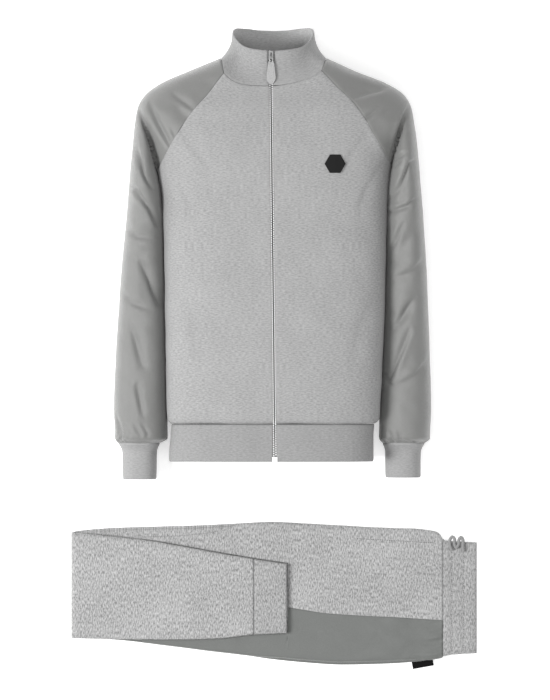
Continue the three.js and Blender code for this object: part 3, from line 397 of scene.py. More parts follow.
def group(name: str, inputs: dict[str, float | tuple], outputs: dict[str, str], body: Callable) -> bpy.types.NodeTree:
    """Makes a shader node group once.

    Args:
        name: the group's name.
        inputs: names and default values; a tuple is a colour.
        outputs: names and socket types.
        body: fills the tree from a Graph and the group's input node, and returns the output values by name.

    Returns:
        The group.
    """
    if name in bpy.data.node_groups:
        return bpy.data.node_groups[name]
    tree = bpy.data.node_groups.new(name, "ShaderNodeTree")
    for label, value in inputs.items():
        kind = "NodeSocketColor" if isinstance(value, tuple) else "NodeSocketFloat"
        tree.interface.new_socket(label, in_out="INPUT", socket_type=kind).default_value = value
    for label, kind in outputs.items():
        tree.interface.new_socket(label, in_out="OUTPUT", socket_type=kind)
    graph = Graph(tree)
    start, end = graph.add("NodeGroupInput"), graph.add("NodeGroupOutput")
    for label, socket in body(graph, start).items():
        tree.links.new(socket, end.inputs[label])
    return tree


def heather_group() -> bpy.types.NodeTree:
    """Heather knit: pale and dark fibres blended in short streaks round the garment, with the stitches' relief."""

    def body(g: Graph, start: bpy.types.Node) -> dict:
        """Fills the heather's tree."""
        uv = g.add("ShaderNodeUVMap", uv_map="cloth").outputs[0]
        streak = g.add("ShaderNodeMapping", {0: uv, 3: (175, 640, 1)}).outputs[0]
        fibre = g.add("ShaderNodeTexNoise", {"Vector": streak, "Scale": 1.0, "Detail": 4.0}).outputs[0]
        place = g.add("ShaderNodeTexCoord").outputs["Object"]
        mottle = g.add("ShaderNodeTexNoise", {"Vector": place, "Scale": 330.0, "Detail": 4.0}).outputs[0]
        cloud = g.add("ShaderNodeTexNoise", {"Vector": place, "Scale": 18.0, "Detail": 2.0}).outputs[0]
        both = g.math("ADD", g.math("MULTIPLY", fibre, 0.8), g.math("MULTIPLY", mottle, 0.2))
        spread = g.math("MULTIPLY", g.math("SUBTRACT", both, 0.5), start.outputs["Contrast"])
        soft = g.math("MULTIPLY", g.math("SUBTRACT", cloud, 0.5), 0.35)
        share = g.math("ADD", g.math("ADD", spread, soft), 0.5)
        share = g.add("ShaderNodeClamp", {0: share}).outputs[0]
        colour = g.blend(start.outputs["Dark"], start.outputs["Light"], share)
        axes = g.add("ShaderNodeSeparateXYZ", {0: uv})
        wale = g.math("SINE", g.math("MULTIPLY", axes.outputs[0], start.outputs["Wales"]))
        course = g.math("SINE", g.math("MULTIPLY", axes.outputs[1], start.outputs["Courses"]))
        loops = g.math("ADD", g.math("MULTIPLY", wale, 0.05), g.math("MULTIPLY", course, 0.05))
        height = g.math("ADD", loops, g.math("MULTIPLY", fibre, 1.2))
        return {"Colour": colour, "Height": height}

    return group(
        "heather",
        {
            "Light": (0.6, 0.6, 0.6, 1), "Dark": (0.3, 0.3, 0.3, 1), "Contrast": 2.0, "Wales": 5000.0,
            "Courses": 4000.0,
        },
        {"Colour": "NodeSocketColor", "Height": "NodeSocketFloat"},
        body,
    )


def weave_group() -> bpy.types.NodeTree:
    """Fine plain weave with faint slubs, and small crinkles that come from wearing and packing."""

    def body(g: Graph, start: bpy.types.Node) -> dict:
        """Fills the weave's tree."""
        uv = g.add("ShaderNodeUVMap", uv_map="cloth").outputs[0]
        axes = g.add("ShaderNodeSeparateXYZ", {0: uv})
        warp = g.math("SINE", g.math("MULTIPLY", axes.outputs[0], start.outputs["Threads"]))
        weft = g.math("SINE", g.math("MULTIPLY", axes.outputs[1], start.outputs["Threads"]))
        place = g.add("ShaderNodeTexCoord").outputs["Object"]
        slub = g.add("ShaderNodeTexNoise", {"Vector": place, "Scale": 420.0, "Detail": 3.0}).outputs[0]
        creased = {"Vector": place, "Scale": 34.0, "Detail": 3.0, "Distortion": 0.6}
        crinkle = g.add("ShaderNodeTexNoise", creased).outputs[0]
        share = g.math("ADD", g.math("MULTIPLY", slub, 0.7), g.math("MULTIPLY", crinkle, 0.3))
        spread = g.math("MULTIPLY", g.math("SUBTRACT", share, 0.5), 2.2)
        share = g.add("ShaderNodeClamp", {0: g.math("ADD", spread, 0.5)})
        colour = g.blend(start.outputs["Dark"], start.outputs["Light"], share.outputs[0])
        threads = g.math("MULTIPLY", g.math("MULTIPLY", warp, weft), 0.05)
        height = g.math("ADD", threads, g.math("MULTIPLY", crinkle, start.outputs["Crinkle"]))
        return {"Colour": colour, "Height": height}

    return group(
        "weave",
        {"Light": (0.4, 0.4, 0.4, 1), "Dark": (0.3, 0.3, 0.3, 1), "Threads": 9000.0, "Crinkle": 1.0},
        {"Colour": "NodeSocketColor", "Height": "NodeSocketFloat"},
        body,
    )


def surface(name: str, roughness: float, metallic: float = 0.0, sheen: float = 0.0, specular: float = 0.5) -> tuple:
    """Starts a material.

    Returns:
        The material, its Graph and its Principled node.
    """
    material = bpy.data.materials.new(name)
    material.use_nodes = True
    shader = next(n for n in material.node_tree.nodes if n.type == "BSDF_PRINCIPLED")
    shader.inputs["Roughness"].default_value = roughness
    shader.inputs["Metallic"].default_value = metallic
    shader.inputs["Sheen Weight"].default_value = sheen
    shader.inputs["Sheen Roughness"].default_value = 0.5
    shader.inputs["Specular IOR Level"].default_value = specular
    return material, Graph(material.node_tree), shader


def relief(g: Graph, shader: bpy.types.Node, height: Socket, strength: float, distance: float) -> None:
    """Links a height to the shader's normal."""
    bump = g.add("ShaderNodeBump", {"Height": height, "Strength": strength, "Distance": distance})
    g.tree.links.new(bump.outputs[0], shader.inputs["Normal"])


@dataclass(frozen=True)
class Knit:
    """Matt heather jersey or rib."""

    name: str
    grey: float
    spread: float = 30
    contrast: float = 3.0
    wale_mm: float = 1.0
    course_mm: float = 0.9
    strength: float = 0.3

    def material(self) -> bpy.types.Material:
        """The finish as a material."""
        material, g, shader = surface(self.name, 0.92, sheen=0.15, specular=0.2)
        knit = g.add("ShaderNodeGroup", node_tree=heather_group())
        knit.inputs["Light"].default_value = linear(self.grey + self.spread)
        knit.inputs["Dark"].default_value = linear(self.grey - self.spread)
        knit.inputs["Contrast"].default_value = self.contrast
        knit.inputs["Wales"].default_value = 2 * math.pi / (self.wale_mm * MM)
        knit.inputs["Courses"].default_value = 2 * math.pi / (self.course_mm * MM)
        g.tree.links.new(knit.outputs["Colour"], shader.inputs["Base Color"])
        relief(g, shader, knit.outputs["Height"], self.strength, 0.0004)
        return material


@dataclass(frozen=True)
class Woven:
    """Smooth woven cloth, from satin nylon to zip tape."""

    name: str
    grey: float
    tint: tuple[float, float, float] = (1, 1, 1)
    spread: float = 3
    roughness: float = 0.42
    sheen: float = 0.25
    thread_mm: float = 0.5
    crinkle: float = 1.0
    strength: float = 0.35
    specular: float = 0.45

    def material(self) -> bpy.types.Material:
        """The finish as a material."""
        material, g, shader = surface(self.name, self.roughness, sheen=self.sheen, specular=self.specular)
        weave = g.add("ShaderNodeGroup", node_tree=weave_group())
        weave.inputs["Light"].default_value = linear(self.grey + self.spread, self.tint)
        weave.inputs["Dark"].default_value = linear(self.grey - self.spread, self.tint)
        weave.inputs["Threads"].default_value = 2 * math.pi / (self.thread_mm * MM)
        weave.inputs["Crinkle"].default_value = self.crinkle
        g.tree.links.new(weave.outputs["Colour"], shader.inputs["Base Color"])
        relief(g, shader, weave.outputs["Height"], self.strength, 0.003)
        return material


@dataclass(frozen=True)
class Plain:
    """Metal, rubber or thread with fine scratches or grain."""

    name: str
    grey: float
    roughness: float
    metallic: float = 0.0
    grain_scale: float = 900.0
    strength: float = 0.1
    specular: float = 0.5

    def material(self) -> bpy.types.Material:
        """The finish as a material."""
        material, g, shader = surface(self.name, self.roughness, self.metallic, specular=self.specular)
        place = g.add("ShaderNodeTexCoord").outputs["Object"]
        grain = g.add("ShaderNodeTexNoise", {"Vector": place, "Scale": self.grain_scale, "Detail": 3.0}).outputs[0]
        colour = g.blend(linear(self.grey * 0.93), linear(min(255, self.grey * 1.07)), grain)
        g.tree.links.new(colour, shader.inputs["Base Color"])
        rough = g.math("ADD", g.math("MULTIPLY", grain, 0.16), self.roughness - 0.08)
        g.tree.links.new(rough, shader.inputs["Roughness"])
        relief(g, shader, grain, self.strength, 0.0003)
        return material


@dataclass(frozen=True)
class Braid:
    """Round braided cord: crossing strands along the cord's own length, with painted shade in the grooves between
    them.
    """

    name: str
    grey: float
    strands: float = 5.0
    pitch_mm: float = 3.4

    def material(self) -> bpy.types.Material:
        """The finish as a material."""
        material, g, shader = surface(self.name, 0.85, sheen=0.2, specular=0.25)
        uv = g.add("ShaderNodeUVMap", uv_map="cloth").outputs[0]
        axes = g.add("ShaderNodeSeparateXYZ", {0: uv})
        turn = g.math("MULTIPLY", axes.outputs[0], 2 * math.pi * self.strands)
        rise = g.math("MULTIPLY", axes.outputs[1], 2 * math.pi / (self.pitch_mm * MM))
        one = g.math("SINE", g.math("ADD", turn, rise))
        other = g.math("SINE", g.math("SUBTRACT", turn, rise))
        strand = g.math("MULTIPLY", g.math("ADD", g.math("MULTIPLY", one, other), 1.0), 0.5)
        # painted shade: the colour darkens with the strand pattern into the grooves between strands, where the bump
        # below is low
        colour = g.blend(linear(self.grey - 26), linear(self.grey + 12), strand)
        g.tree.links.new(colour, shader.inputs["Base Color"])
        relief(g, shader, strand, 0.8, 0.0008)
        return material


@dataclass(frozen=True)
class Finishes:
    """Every finish of the set, made once."""

    torso: bpy.types.Material
    rib: bpy.types.Material
    cuff: bpy.types.Material
    collar: bpy.types.Material
    collar_inside: bpy.types.Material
    sleeve: bpy.types.Material
    leg_knit: bpy.types.Material
    leg_rib: bpy.types.Material
    leg_side: bpy.types.Material
    tape: bpy.types.Material
    metal: bpy.types.Material
    slider: bpy.types.Material
    teeth: bpy.types.Material
    badge: bpy.types.Material
    label: bpy.types.Material
    cord: bpy.types.Material
    thread: bpy.types.Material

    @classmethod
    def made(cls) -> Finishes:
        """Makes the materials."""
        return cls(
            torso=Knit("torso_knit", 149, spread=15, contrast=3.2).material(),
            rib=Knit("rib_knit", 141, spread=11, contrast=3.0, wale_mm=1.4).material(),
            # painted light: the cuffs' rib is a lighter copy of the hem rib, lifted to offset the shade that falls on
            # the round cuff tubes
            cuff=Knit("cuff_rib_painted_light", 149, spread=9, contrast=2.6, wale_mm=1.4).material(),
            # painted light: the collar's inner side is a much lighter copy of the rib, lifted to offset the shade
            # inside the collar
            collar_inside=Knit("collar_inside", 184, spread=14, contrast=2.8, wale_mm=1.4).material(),
            # painted light: the collar's rib is a slightly lighter copy of the hem rib, lifted to offset the shade on
            # the collar
            collar=Knit("collar_rib_painted_light", 147, spread=14, contrast=2.8, wale_mm=1.4).material(),
            sleeve=Woven("sleeve_nylon", 119, tint=(1.0, 1.005, 0.98)).material(),
            leg_knit=Knit("leg_knit", 151, spread=32, contrast=4.2).material(),
            leg_rib=Knit("leg_rib", 146, spread=30, contrast=4.0, wale_mm=1.4).material(),
            leg_side=Woven("leg_side_nylon", 101, tint=(0.975, 1.02, 0.975), roughness=0.5).material(),
            tape=Woven("zip_tape_weave", 96, spread=10, roughness=0.8, thread_mm=0.9, crinkle=0.1).material(),
            metal=Plain("zip_silver", 176, 0.3, metallic=1.0, strength=0.06).material(),
            slider=Plain("slider_silver", 128, 0.42, metallic=1.0, strength=0.1).material(),
            # painted highlight: the silver teeth get a near-white, mostly matt base that stands in for their bright
            # reflections
            teeth=Plain("zip_teeth_painted_glint", 252, 0.4, metallic=0.2, strength=0.04).material(),
            badge=Plain("badge_black", 22, 0.6, specular=0.15).material(),
            label=Woven(
                "label_black", 15, spread=4, roughness=0.8, sheen=0.0, thread_mm=0.6, crinkle=0.1, specular=0.1
            ).material(),
            cord=Braid("cord_braid", 150).material(),
            thread=Plain("stitch_thread", 92, 0.75, grain_scale=2500.0).material(),
        )


OUTLINE = Table(
    "y left right",
    (493, -90, 89), (471, -144, 138), (450, -192, 191), (430, -219, 221), (409, -231, 233), (388, -235, 237),
    (328, -241, 244.5), (287, -245, 248), (226, -250, 253), (144, -258, 258.5), (63, -264, 262), (-19, -269, 265),
    (-100, -272, 267), (-150, -270, 265),
)
BODY_EDGE = Table(
    "y left right",
    (493, -90, 89), (471, -144, 138), (450, -192, 191), (430, -218, 220), (406, -227, 229), (376, -219, 216),
    (345, -209, 206), (306, -199, 197.5), (270, -192, 193.5), (226, -188.7, 191.5), (144, -186, 190),
    (32, -184, 186.5), (-100, -182, 180), (-119, -180.5, 178.5), (-127, -175, 171),
)
BODY_DEPTH = Table(
    "y depth",
    (493, 142), (470, 146), (445, 150), (400, 166), (320, 176), (300, 176), (0, 176), (-80, 173), (-119, 166),
    (-127, 160),
)
SLEEVE_HEIGHT = Table(
    "y top middle",
    (420, 150, 86), (320, 160, 88), (300, 158, 88), (260, 148, 78), (144, 126, 64), (63, 117, 59), (-100, 106, 53),
    (-150, 100, 50), (-161, 90, 45),
)
RAGLAN = {
    Side.LEFT: Table(
        "y x", (467, -84.5), (428, -114), (401, -138), (369, -160), (342, -176), (318, -189), (301, -198)
    ),
    Side.RIGHT: Table(
        "y x", (470.5, 80.5), (442, 107), (418, 132.5), (394, 150), (362, 168.5), (333, 186), (314, 198.5)
    ),
}
NECK_SEAM = {
    Side.LEFT: Table("x y", (0, 444), (17, 444.2), (46, 446), (64, 450.7), (77, 458.5), (84.5, 467)),
    Side.RIGHT: Table("x y", (0, 444), (10, 445.2), (36, 450), (53, 455.3), (69, 461.7), (80.5, 470.5)),
}
RIM = Table(
    "angle y",
    (0, 503.4), (30, 508), (45, 513), (60, 521), (75, 529.5), (90, 537.5), (105, 543), (122, 545.7), (142, 545.5),
    (162, 543), (180, 541.8),
)
CUFFS = {
    Side.LEFT: Table(
        "y outer inner height",
        (-161, -265, -193, 88), (-166, -261, -196.5, 78), (-176, -258, -199, 70), (-200, -257.5, -199.5, 67),
        (-221.5, -257, -200, 66),
    ),
    Side.RIGHT: Table(
        "y outer inner height",
        (-161, 257, 184, 88), (-166, 253, 187, 78), (-176, 250, 189, 70), (-200, 249.5, 189, 67),
        (-218.5, 249.5, 189.5, 66),
    ),
}
HEM = Table(
    "y left right depth",
    (-127.2, -174.5, 170, 160), (-145, -175.5, 168.5, 159), (-170, -178, 168.5, 158), (-190.5, -178.5, 168.5, 157),
)

SLEEVE_FOLDS = {
    Side.LEFT: (
        Fold(6, 13, ((-236, 345), (-206, 275)), 0, 1),
        Fold(6, 14, ((-228, 150), (-196, 82)), 0, 1),
        Fold(5, 13, ((-246, 42), (-224, -26)), 0, 1),
        Fold(4, 12, ((-168, 420), (-140, 380)), 0, 1),
        Fold(5, 3.7, ((-230, 406), (-220, 380), (-208, 345), (-201, 315), (-195, 293), (-192, 275), (-191, 241))),
        Fold(5, 3.7, ((-237, 337), (-229, 315), (-220, 293), (-208, 274))),
        Fold(5.6, 3.7, ((-244, 273), (-236, 270), (-224, 253), (-211, 236), (-199, 210))),
        Fold(3.1, 4.4, ((-170, 429), (-151, 416), (-137, 404))),
        Fold(5, 4.4, ((-210, 411), (-198, 383), (-187, 362), (-175, 340))),
        Fold(2, 3, ((-173, 371), (-168, 357))),
        Fold(3.8, 5.2, ((-228, 148), (-211, 117), (-194, 75))),
        Fold(3.1, 5.2, ((-245, 41), (-224, -27))),
        Fold(3.8, 4.4, ((-233, -61), (-223, -112))),
        Fold(2.8, 3, ((-238, -129), (-226, -147))),
        Fold(2.8, 3, ((-224, -128), (-215, -143), (-216, -151))),
        Fold(2.8, 3, ((-268, -113), (-262, -137), (-261, -156))),
        Fold(3.1, 6.7, ((-252, 205), (-232, 190), (-204, 186))),
        Fold(2.8, 5.9, ((-258, 96), (-238, 76), (-210, 66))),
    ),
    Side.RIGHT: (
        Fold(6, 14, ((238, 322), (212, 250)), 0, 1),
        Fold(6, 13, ((234, 196), (204, 150)), 0, 1),
        Fold(5, 13, ((236, 84), (206, 40)), 0, 1),
        Fold(4, 12, ((130, 444), (176, 436)), 0, 1),
        Fold(5, 3.7, ((230, 415), (219, 394), (209, 359), (204, 337), (198, 309))),
        Fold(3.1, 4.4, ((138, 423), (163, 434), (186, 439))),
        Fold(3.1, 3.7, ((156, 388), (179, 406))),
        Fold(4.4, 3.7, ((220, 332), (202, 319))),
        Fold(3.1, 3, ((214, 319), (200, 309))),
        Fold(5, 3.7, ((241, 318), (231, 314), (221, 293), (210, 274), (197, 257))),
        Fold(5, 3.7, ((238, 253), (224, 241), (193, 232))),
        Fold(4.4, 3.7, ((216, 210), (207, 190), (197, 172))),
        Fold(4.4, 5.2, ((235, 83), (206, 41))),
        Fold(5, 4.4, ((185, -44), (194, -56), (231, 32))),
        Fold(2.8, 3, ((194, -143), (199, -155))),
        Fold(2.8, 3, ((209, -141), (214, -155))),
        Fold(3.1, 6.7, ((252, 150), (234, 132), (206, 120))),
        Fold(2.8, 5.9, ((260, -20), (240, -44), (212, -60))),
    ),
}
BODY_FOLDS = (
    Fold(1.8, 9, ((-178, 300), (-150, 262), (-132, 210))),
    Fold(1.5, 8, ((178, 306), (156, 270), (140, 226))),
    Fold(1.4, 10, ((-160, 372), (-128, 330), (-104, 296))),
    Fold(1.4, 10, ((160, 366), (132, 330), (112, 286))),
    Fold(1.3, 12, ((-176, 120), (-140, 60), (-128, -20))),
    Fold(1.3, 12, ((176, 96), (146, 40), (132, -30))),
)


@dataclass
class JacketForm:
    """The filled-out form of the jacket: heights of its front and back, its seams and its zip line.

    A gap or clearance below zero is an overlap, which keeps light out of a seam.
    """

    body_power: float = 3
    sleeve_power: float = 2.4
    back_sink: float = 7
    crease_top: float = 402
    neck_back: float = 484
    neck_back_side: float = 489
    shoulder_top: float = 493
    seam_gap: float = 0.4
    armpit_gap: float = -1.4
    sleeve_clearance: float = -1.4
    zip_top_x: float = -5
    zip_bottom_x: float = 1.7
    panel_edge: float = 2.8
    collar_edge: float = 5.2
    hem_end: float = -190.5
    hem_seam: float = -127
    rim_half: tuple[float, float] = (70, 67)
    rim_centre: tuple[float, float] = (-1, 75)
    rim_power: float = 2.3
    collar_ease: float = 2.4
    collar_gap: float = 0.65
    neck_heart: float = 520

    def zip_x(self, y: Number) -> Number:
        """X of the zip's line."""
        return mix(self.zip_top_x, self.zip_bottom_x, (444 - np.minimum(y, 444)) / (444 - self.hem_end))

    def armpit(self, side: Side) -> float:
        """Y of the armpit."""
        return float(RAGLAN[side].keys[0])

    def _section(self, share: Number, middle: Number, top: Number, power: float) -> tuple:
        """Front and back heights of a rounded section with a flat back."""
        arc = arc_of(share, power)
        return middle + (top - middle) * arc, np.maximum(0, middle - (middle + self.back_sink) * arc)

    def heights(self, x: Number, y: Number) -> tuple:
        """Heights of the front and of the back over places in plan, with sleeves above the armpits."""
        x, y = np.broadcast_arrays(np.asarray(x, float), np.asarray(y, float))
        left = x < 0
        edge = np.where(left, BODY_EDGE.at("left", y), BODY_EDGE.at("right", y))
        outer = np.where(left, OUTLINE.at("left", y), OUTLINE.at("right", y))
        armpit = np.where(left, self.armpit(Side.LEFT), self.armpit(Side.RIGHT))
        apart = 1 - smoothstep((y - armpit) / (self.crease_top - armpit))
        depth = BODY_DEPTH.at("depth", y)
        whole = self._section(x / outer, depth / 2, depth, self.body_power)
        body = self._section(x / edge, depth / 2, depth, self.body_power)
        width = np.where(np.abs(outer - edge) < 1e-6, 1, outer - edge)
        top, middle = SLEEVE_HEIGHT.at("top", y), SLEEVE_HEIGHT.at("middle", y)
        sleeve = self._section((2 * x - edge - outer) / width, middle, top, self.sleeve_power)
        on_body = np.abs(x) <= np.abs(edge)
        return tuple(mix(w, np.where(on_body, b, s), apart) for w, b, s in zip(whole, body, sleeve))

    def seam_place(self, side: Side, share: float) -> dict[str, float]:
        """Places along the raglan seam at a share of the way from the neck to the armpit."""
        top = float(RAGLAN[side].keys[-1])
        y = mix(top, self.armpit(side), share)
        ridge_y = y + (self.shoulder_top - top) * (1 - share) ** 2
        return {
            "x": float(RAGLAN[side].at("x", y)),
            "y": y,
            "back_y": mix(self.neck_back_side, self.armpit(side), share),
            "ridge_y": ridge_y,
            "ridge_x": float(OUTLINE.at(side.value, ridge_y)),
        }

    def shoulder_row(self, side: Side, share: float, columns: int) -> np.ndarray:
        """Row of a sleeve above the armpit: front raglan seam, shoulder outline, back raglan seam."""
        place = self.seam_place(side, share)
        start = place["x"] + side.sign * (self.seam_gap + self.armpit_gap * share**4)
        t = 1 - (1 - np.linspace(0, 1, 241)) ** self.sleeve_power
        x = mix(start, place["ridge_x"], t)
        y_front, y_back = mix(place["y"], place["ridge_y"], t), mix(place["back_y"], place["ridge_y"], t)
        front = np.stack([x, y_front, self.heights(x, y_front)[0]], axis=1)
        back = np.stack([x, y_back, self.heights(x, y_back)[1]], axis=1)[::-1]
        front[-1, 2] = BODY_DEPTH.at("depth", place["ridge_y"]) / 2
        back[0] = front[-1]
        way = (x - start) / (place["ridge_x"] - start)
        rise = mix(80 * arc_of(x / place["ridge_x"], 3), 70 * arc_of(2 * way - 1, self.sleeve_power), share**3)
        guide = np.stack([x, rise], axis=1)
        return np.concatenate([spaced(front, columns, 0.6, guide), spaced(back, columns, 0.6, guide[::-1])[1:]])

    def sleeve_row(self, side: Side, y: float, columns: int) -> np.ndarray:
        """Row of a sleeve below the armpit, from the underarm seam all round and back to it."""
        cuff = CUFFS[side]
        narrow = float(smoothstep((-152 - y) / 8.6))
        inner = float(BODY_EDGE.at(side.value, max(y, -100))) + side.sign * self.sleeve_clearance
        inner = mix(inner, float(cuff.at("inner", -161)), narrow)
        outer = mix(float(OUTLINE.at(side.value, y)), float(cuff.at("outer", -161)), narrow)
        top = mix(float(SLEEVE_HEIGHT.at("top", y)), float(cuff.at("height", -161)), narrow)
        middle = mix(float(SLEEVE_HEIGHT.at("middle", y)), float(cuff.at("height", -161)) / 2, narrow)
        ring = self.ring(y, inner, outer, middle, top)
        return np.concatenate([spaced(ring[:121], columns, 0.6), spaced(ring[120:], columns, 0.6)[1:]])

    def ring(self, y: float, inner: float, outer: float, middle: float, top: float) -> np.ndarray:
        """Closed tube section with a flat underside, from its inner edge over the top and back."""
        angle = np.linspace(0, 2 * math.pi, 241)
        cosine, sine = np.cos(angle), np.sin(angle)
        share = np.sign(cosine) * np.abs(cosine) ** (2 / self.sleeve_power)
        arc = np.abs(sine) ** (2 / self.sleeve_power)
        under = np.maximum(0, middle - (middle + self.back_sink) * arc)
        z = np.where(sine >= 0, middle + (top - middle) * arc, under)
        return np.stack([mix(inner, outer, (1 - share) / 2), np.full(241, y), z], axis=1)

    def neck_loop(self) -> np.ndarray:
        """Neck seam from the zip along the left front, over the shoulder, round the back to the other side."""
        parts = []
        for side in Side:
            reach = np.linspace(10, float(NECK_SEAM[side].keys[-1]), 24)
            x = side.sign * reach
            y = NECK_SEAM[side].at("y", reach)
            seam = np.stack([x, y, self.heights(x, y)[0]], axis=1)
            first = seam[0].copy()
            first[0] = float(self.zip_x(445)) + side.sign * self.panel_edge
            parts.append(np.concatenate([[first], seam, self.shoulder_row(side, 0, 20)[1:]]))
        share = np.linspace(-1, 1, 26)[1:-1]
        x = np.where(share < 0, -share * -84.5, share * 80.5)
        y = self.neck_back_side + (self.neck_back - self.neck_back_side) * (1 - share**2)
        back = np.stack([x, y, self.heights(x, y)[1]], axis=1)
        return np.concatenate([parts[0], back, parts[1][::-1]])

    def collar_points(self, base: np.ndarray, share: float) -> np.ndarray:
        """Points of the collar at a share of the way from the neck seam to the rim."""
        angle = np.arctan2(base[:, 0] - self.rim_centre[0], base[:, 2] - self.rim_centre[1])
        sine, cosine = np.sin(angle), np.cos(angle)
        rim_x = self.rim_centre[0] + self.rim_half[0] * np.sign(sine) * np.abs(sine) ** (2 / self.rim_power)
        rim_z = self.rim_centre[1] + self.rim_half[1] * np.sign(cosine) * np.abs(cosine) ** (2 / self.rim_power)
        rim_y = RIM.at("y", np.degrees(np.abs(angle)))
        inwards = 1 - (1 - share) ** self.collar_ease
        return np.stack(
            [mix(base[:, 0], rim_x, inwards), mix(base[:, 1], rim_y, share), mix(base[:, 2], rim_z, inwards)], axis=1
        )

    def zip_z(self, y: Number) -> np.ndarray:
        """Height of the zip's line, from the collar's rim to the end of the hem."""
        y = np.asarray(y, float)
        neck_z = float(self.heights(0, 444)[0])
        share = np.clip((y - 444) / (503.4 - 444), 0, 1)
        collar = mix(neck_z, self.rim_centre[1] + self.rim_half[1], 1 - (1 - share) ** self.collar_ease)
        front = self.heights(np.zeros_like(y), y)[0]
        return np.where(y > 444, collar, np.where(y > self.hem_seam, front, HEM.at("depth", y)))


def middle_of(x: float | None, z: float) -> Callable[[np.ndarray], np.ndarray]:
    """Middle line of a piece along Y, at one x and z."""

    def centre(points: np.ndarray) -> np.ndarray:
        """The line's points beside a grid's points."""
        middle = points.copy()
        middle[..., 0], middle[..., 2] = x, z
        return middle

    return centre


@dataclass
class Jacket:
    """The jacket's cloth: fronts, back, raglan sleeves, collar, hem band and cuffs."""

    form: JacketForm
    finishes: Finishes
    knit: float = 2.2
    nylon: float = 1.5
    rib: float = 2.8
    front_columns: int = 76
    back_half: int = 56
    sleeve_columns: int = 74
    row_step: float = 3.4

    def build(self) -> None:
        """Makes every piece of the jacket's cloth."""
        for side in Side:
            self.front(side)
            self.sleeve(side)
            self.cuff(side)
        self.back()
        self.collar()
        self.hem_band()

    def _steps(self, low: float, high: float) -> np.ndarray:
        """Places from low to high about one row step apart."""
        return np.linspace(low, high, max(2, round(abs(high - low) / self.row_step)))

    def front(self, side: Side) -> None:
        """One front panel, from the hem seam to the neck seam and from the zip to the side."""
        form, sign = self.form, side.sign
        across = 1 - (1 - np.linspace(0, 1, self.front_columns + 1) ** 1.35) ** 2.2
        top_y, top_x = float(RAGLAN[side].keys[-1]), float(RAGLAN[side].at("x", 999))
        rows = []

        def row(start: float, edge: float, y: np.ndarray) -> None:
            """Adds a row from the zip to the side."""
            x = mix(start, edge, across)
            z = np.maximum(form.heights(x, y)[0], BODY_DEPTH.at("depth", y) / 2 + form.seam_gap / 2)
            rows.append(np.stack([x, y + 0 * x, z], axis=1))

        for y in self._steps(-126.8, form.armpit(side))[:-1]:
            row(form.zip_x(y) + sign * form.panel_edge, float(BODY_EDGE.at(side.value, y)), np.full(across.shape, y))
        for share in np.linspace(1, 0, 62):
            place = form.seam_place(side, share)
            start = form.zip_x(place["y"]) + sign * form.panel_edge
            edge = place["x"] - sign * form.seam_gap * (1 - share) ** 0.5
            neck = NECK_SEAM[side].at("y", np.abs(mix(start, top_x, across))) - top_y
            row(start, edge, place["y"] + neck * (1 - share) ** 2)
        cloth = Cloth(f"front_{side.value}", np.array(rows), middle_of(0, 60), self.knit)
        cloth.crease(BODY_FOLDS)
        cloth.push(0.7 * waves(cloth.x, cloth.y, 95, 3) + 0.35 * waves(cloth.x, cloth.y, 36, 4))
        cloth.gather("first_row", 0.55, 17, 26, 5 if side is Side.LEFT else 8)
        cloth.seam("first_column", 0.5, 1.4)
        cloth.seam("first_row", 0.7, 2.4)
        cloth.seam("last_row", 0.45, 2.2)
        cloth.seam("last_column", 0.6, 2.5)
        piece = cloth.build(self.finishes.torso, "knit", [f"jacket_front_{side.value}"])

    def back(self) -> None:
        """The back in one piece, flat where it lies."""
        form = self.form
        even = np.linspace(-1, 1, 2 * self.back_half + 1)
        across = np.sign(even) * np.sin(np.abs(even) * math.pi / 2) ** (2 / form.body_power)
        rows = []

        def row(left: float, right: float, y: np.ndarray) -> None:
            """Adds a row from side to side."""
            x = np.where(across < 0, -across * left, across * right)
            z = np.minimum(form.heights(x, y)[1], BODY_DEPTH.at("depth", y) / 2 - form.seam_gap / 2)
            rows.append(np.stack([x, y + 0 * x, z], axis=1))

        for y in self._steps(-126.8, 300)[:-1]:
            row(float(BODY_EDGE.at("left", y)), float(BODY_EDGE.at("right", y)), np.full(across.shape, y))
        for share in np.linspace(1, 0, 62):
            left, right = form.seam_place(Side.LEFT, share), form.seam_place(Side.RIGHT, share)
            gap = form.seam_gap * (1 - share) ** 0.5
            dip = (form.neck_back - form.neck_back_side) * (1 - share) ** 2
            y = mix(left["back_y"], right["back_y"], (across + 1) / 2) + dip * (1 - across**2)
            row(left["x"] + gap, right["x"] - gap, y)
        cloth = Cloth("back", np.array(rows), middle_of(0, 100), self.knit)
        cloth.push(np.where(cloth.points[..., 2] > 4, 0.5 * waves(cloth.x, cloth.y, 70, 9), 0))
        for edge in ("first_row", "last_row", "first_column", "last_column"):
            cloth.seam(edge, 0.6, 2.5)
        piece = cloth.build(self.finishes.torso, "knit", ["jacket_back"])

    def sleeve(self, side: Side) -> None:
        """One raglan sleeve: open at the shoulder, a tube below the armpit, gathered into its cuff."""
        form = self.form
        rows = [form.shoulder_row(side, share, self.sleeve_columns) for share in np.linspace(0, 1, 92)]
        armpit, tube = form.armpit(side), 274.0
        first, last = rows[-1], form.sleeve_row(side, tube, self.sleeve_columns)
        for y in np.linspace(armpit, tube, 15)[1:-1]:
            rows.append(mix(first, last, (armpit - y) / (armpit - tube)))
        for y in np.linspace(tube, -160.6, 170):
            rows.append(form.sleeve_row(side, y, self.sleeve_columns))

        def centre(points: np.ndarray) -> np.ndarray:
            """The sleeve's middle line beside its points."""
            y = points[..., 1]
            inner, outer = BODY_EDGE.at(side.value, y), OUTLINE.at(side.value, y)
            middle = points.copy()
            middle[..., 0], middle[..., 2] = mix(inner, outer, np.where(y > 400, -1, 0.5)), 60
            return middle

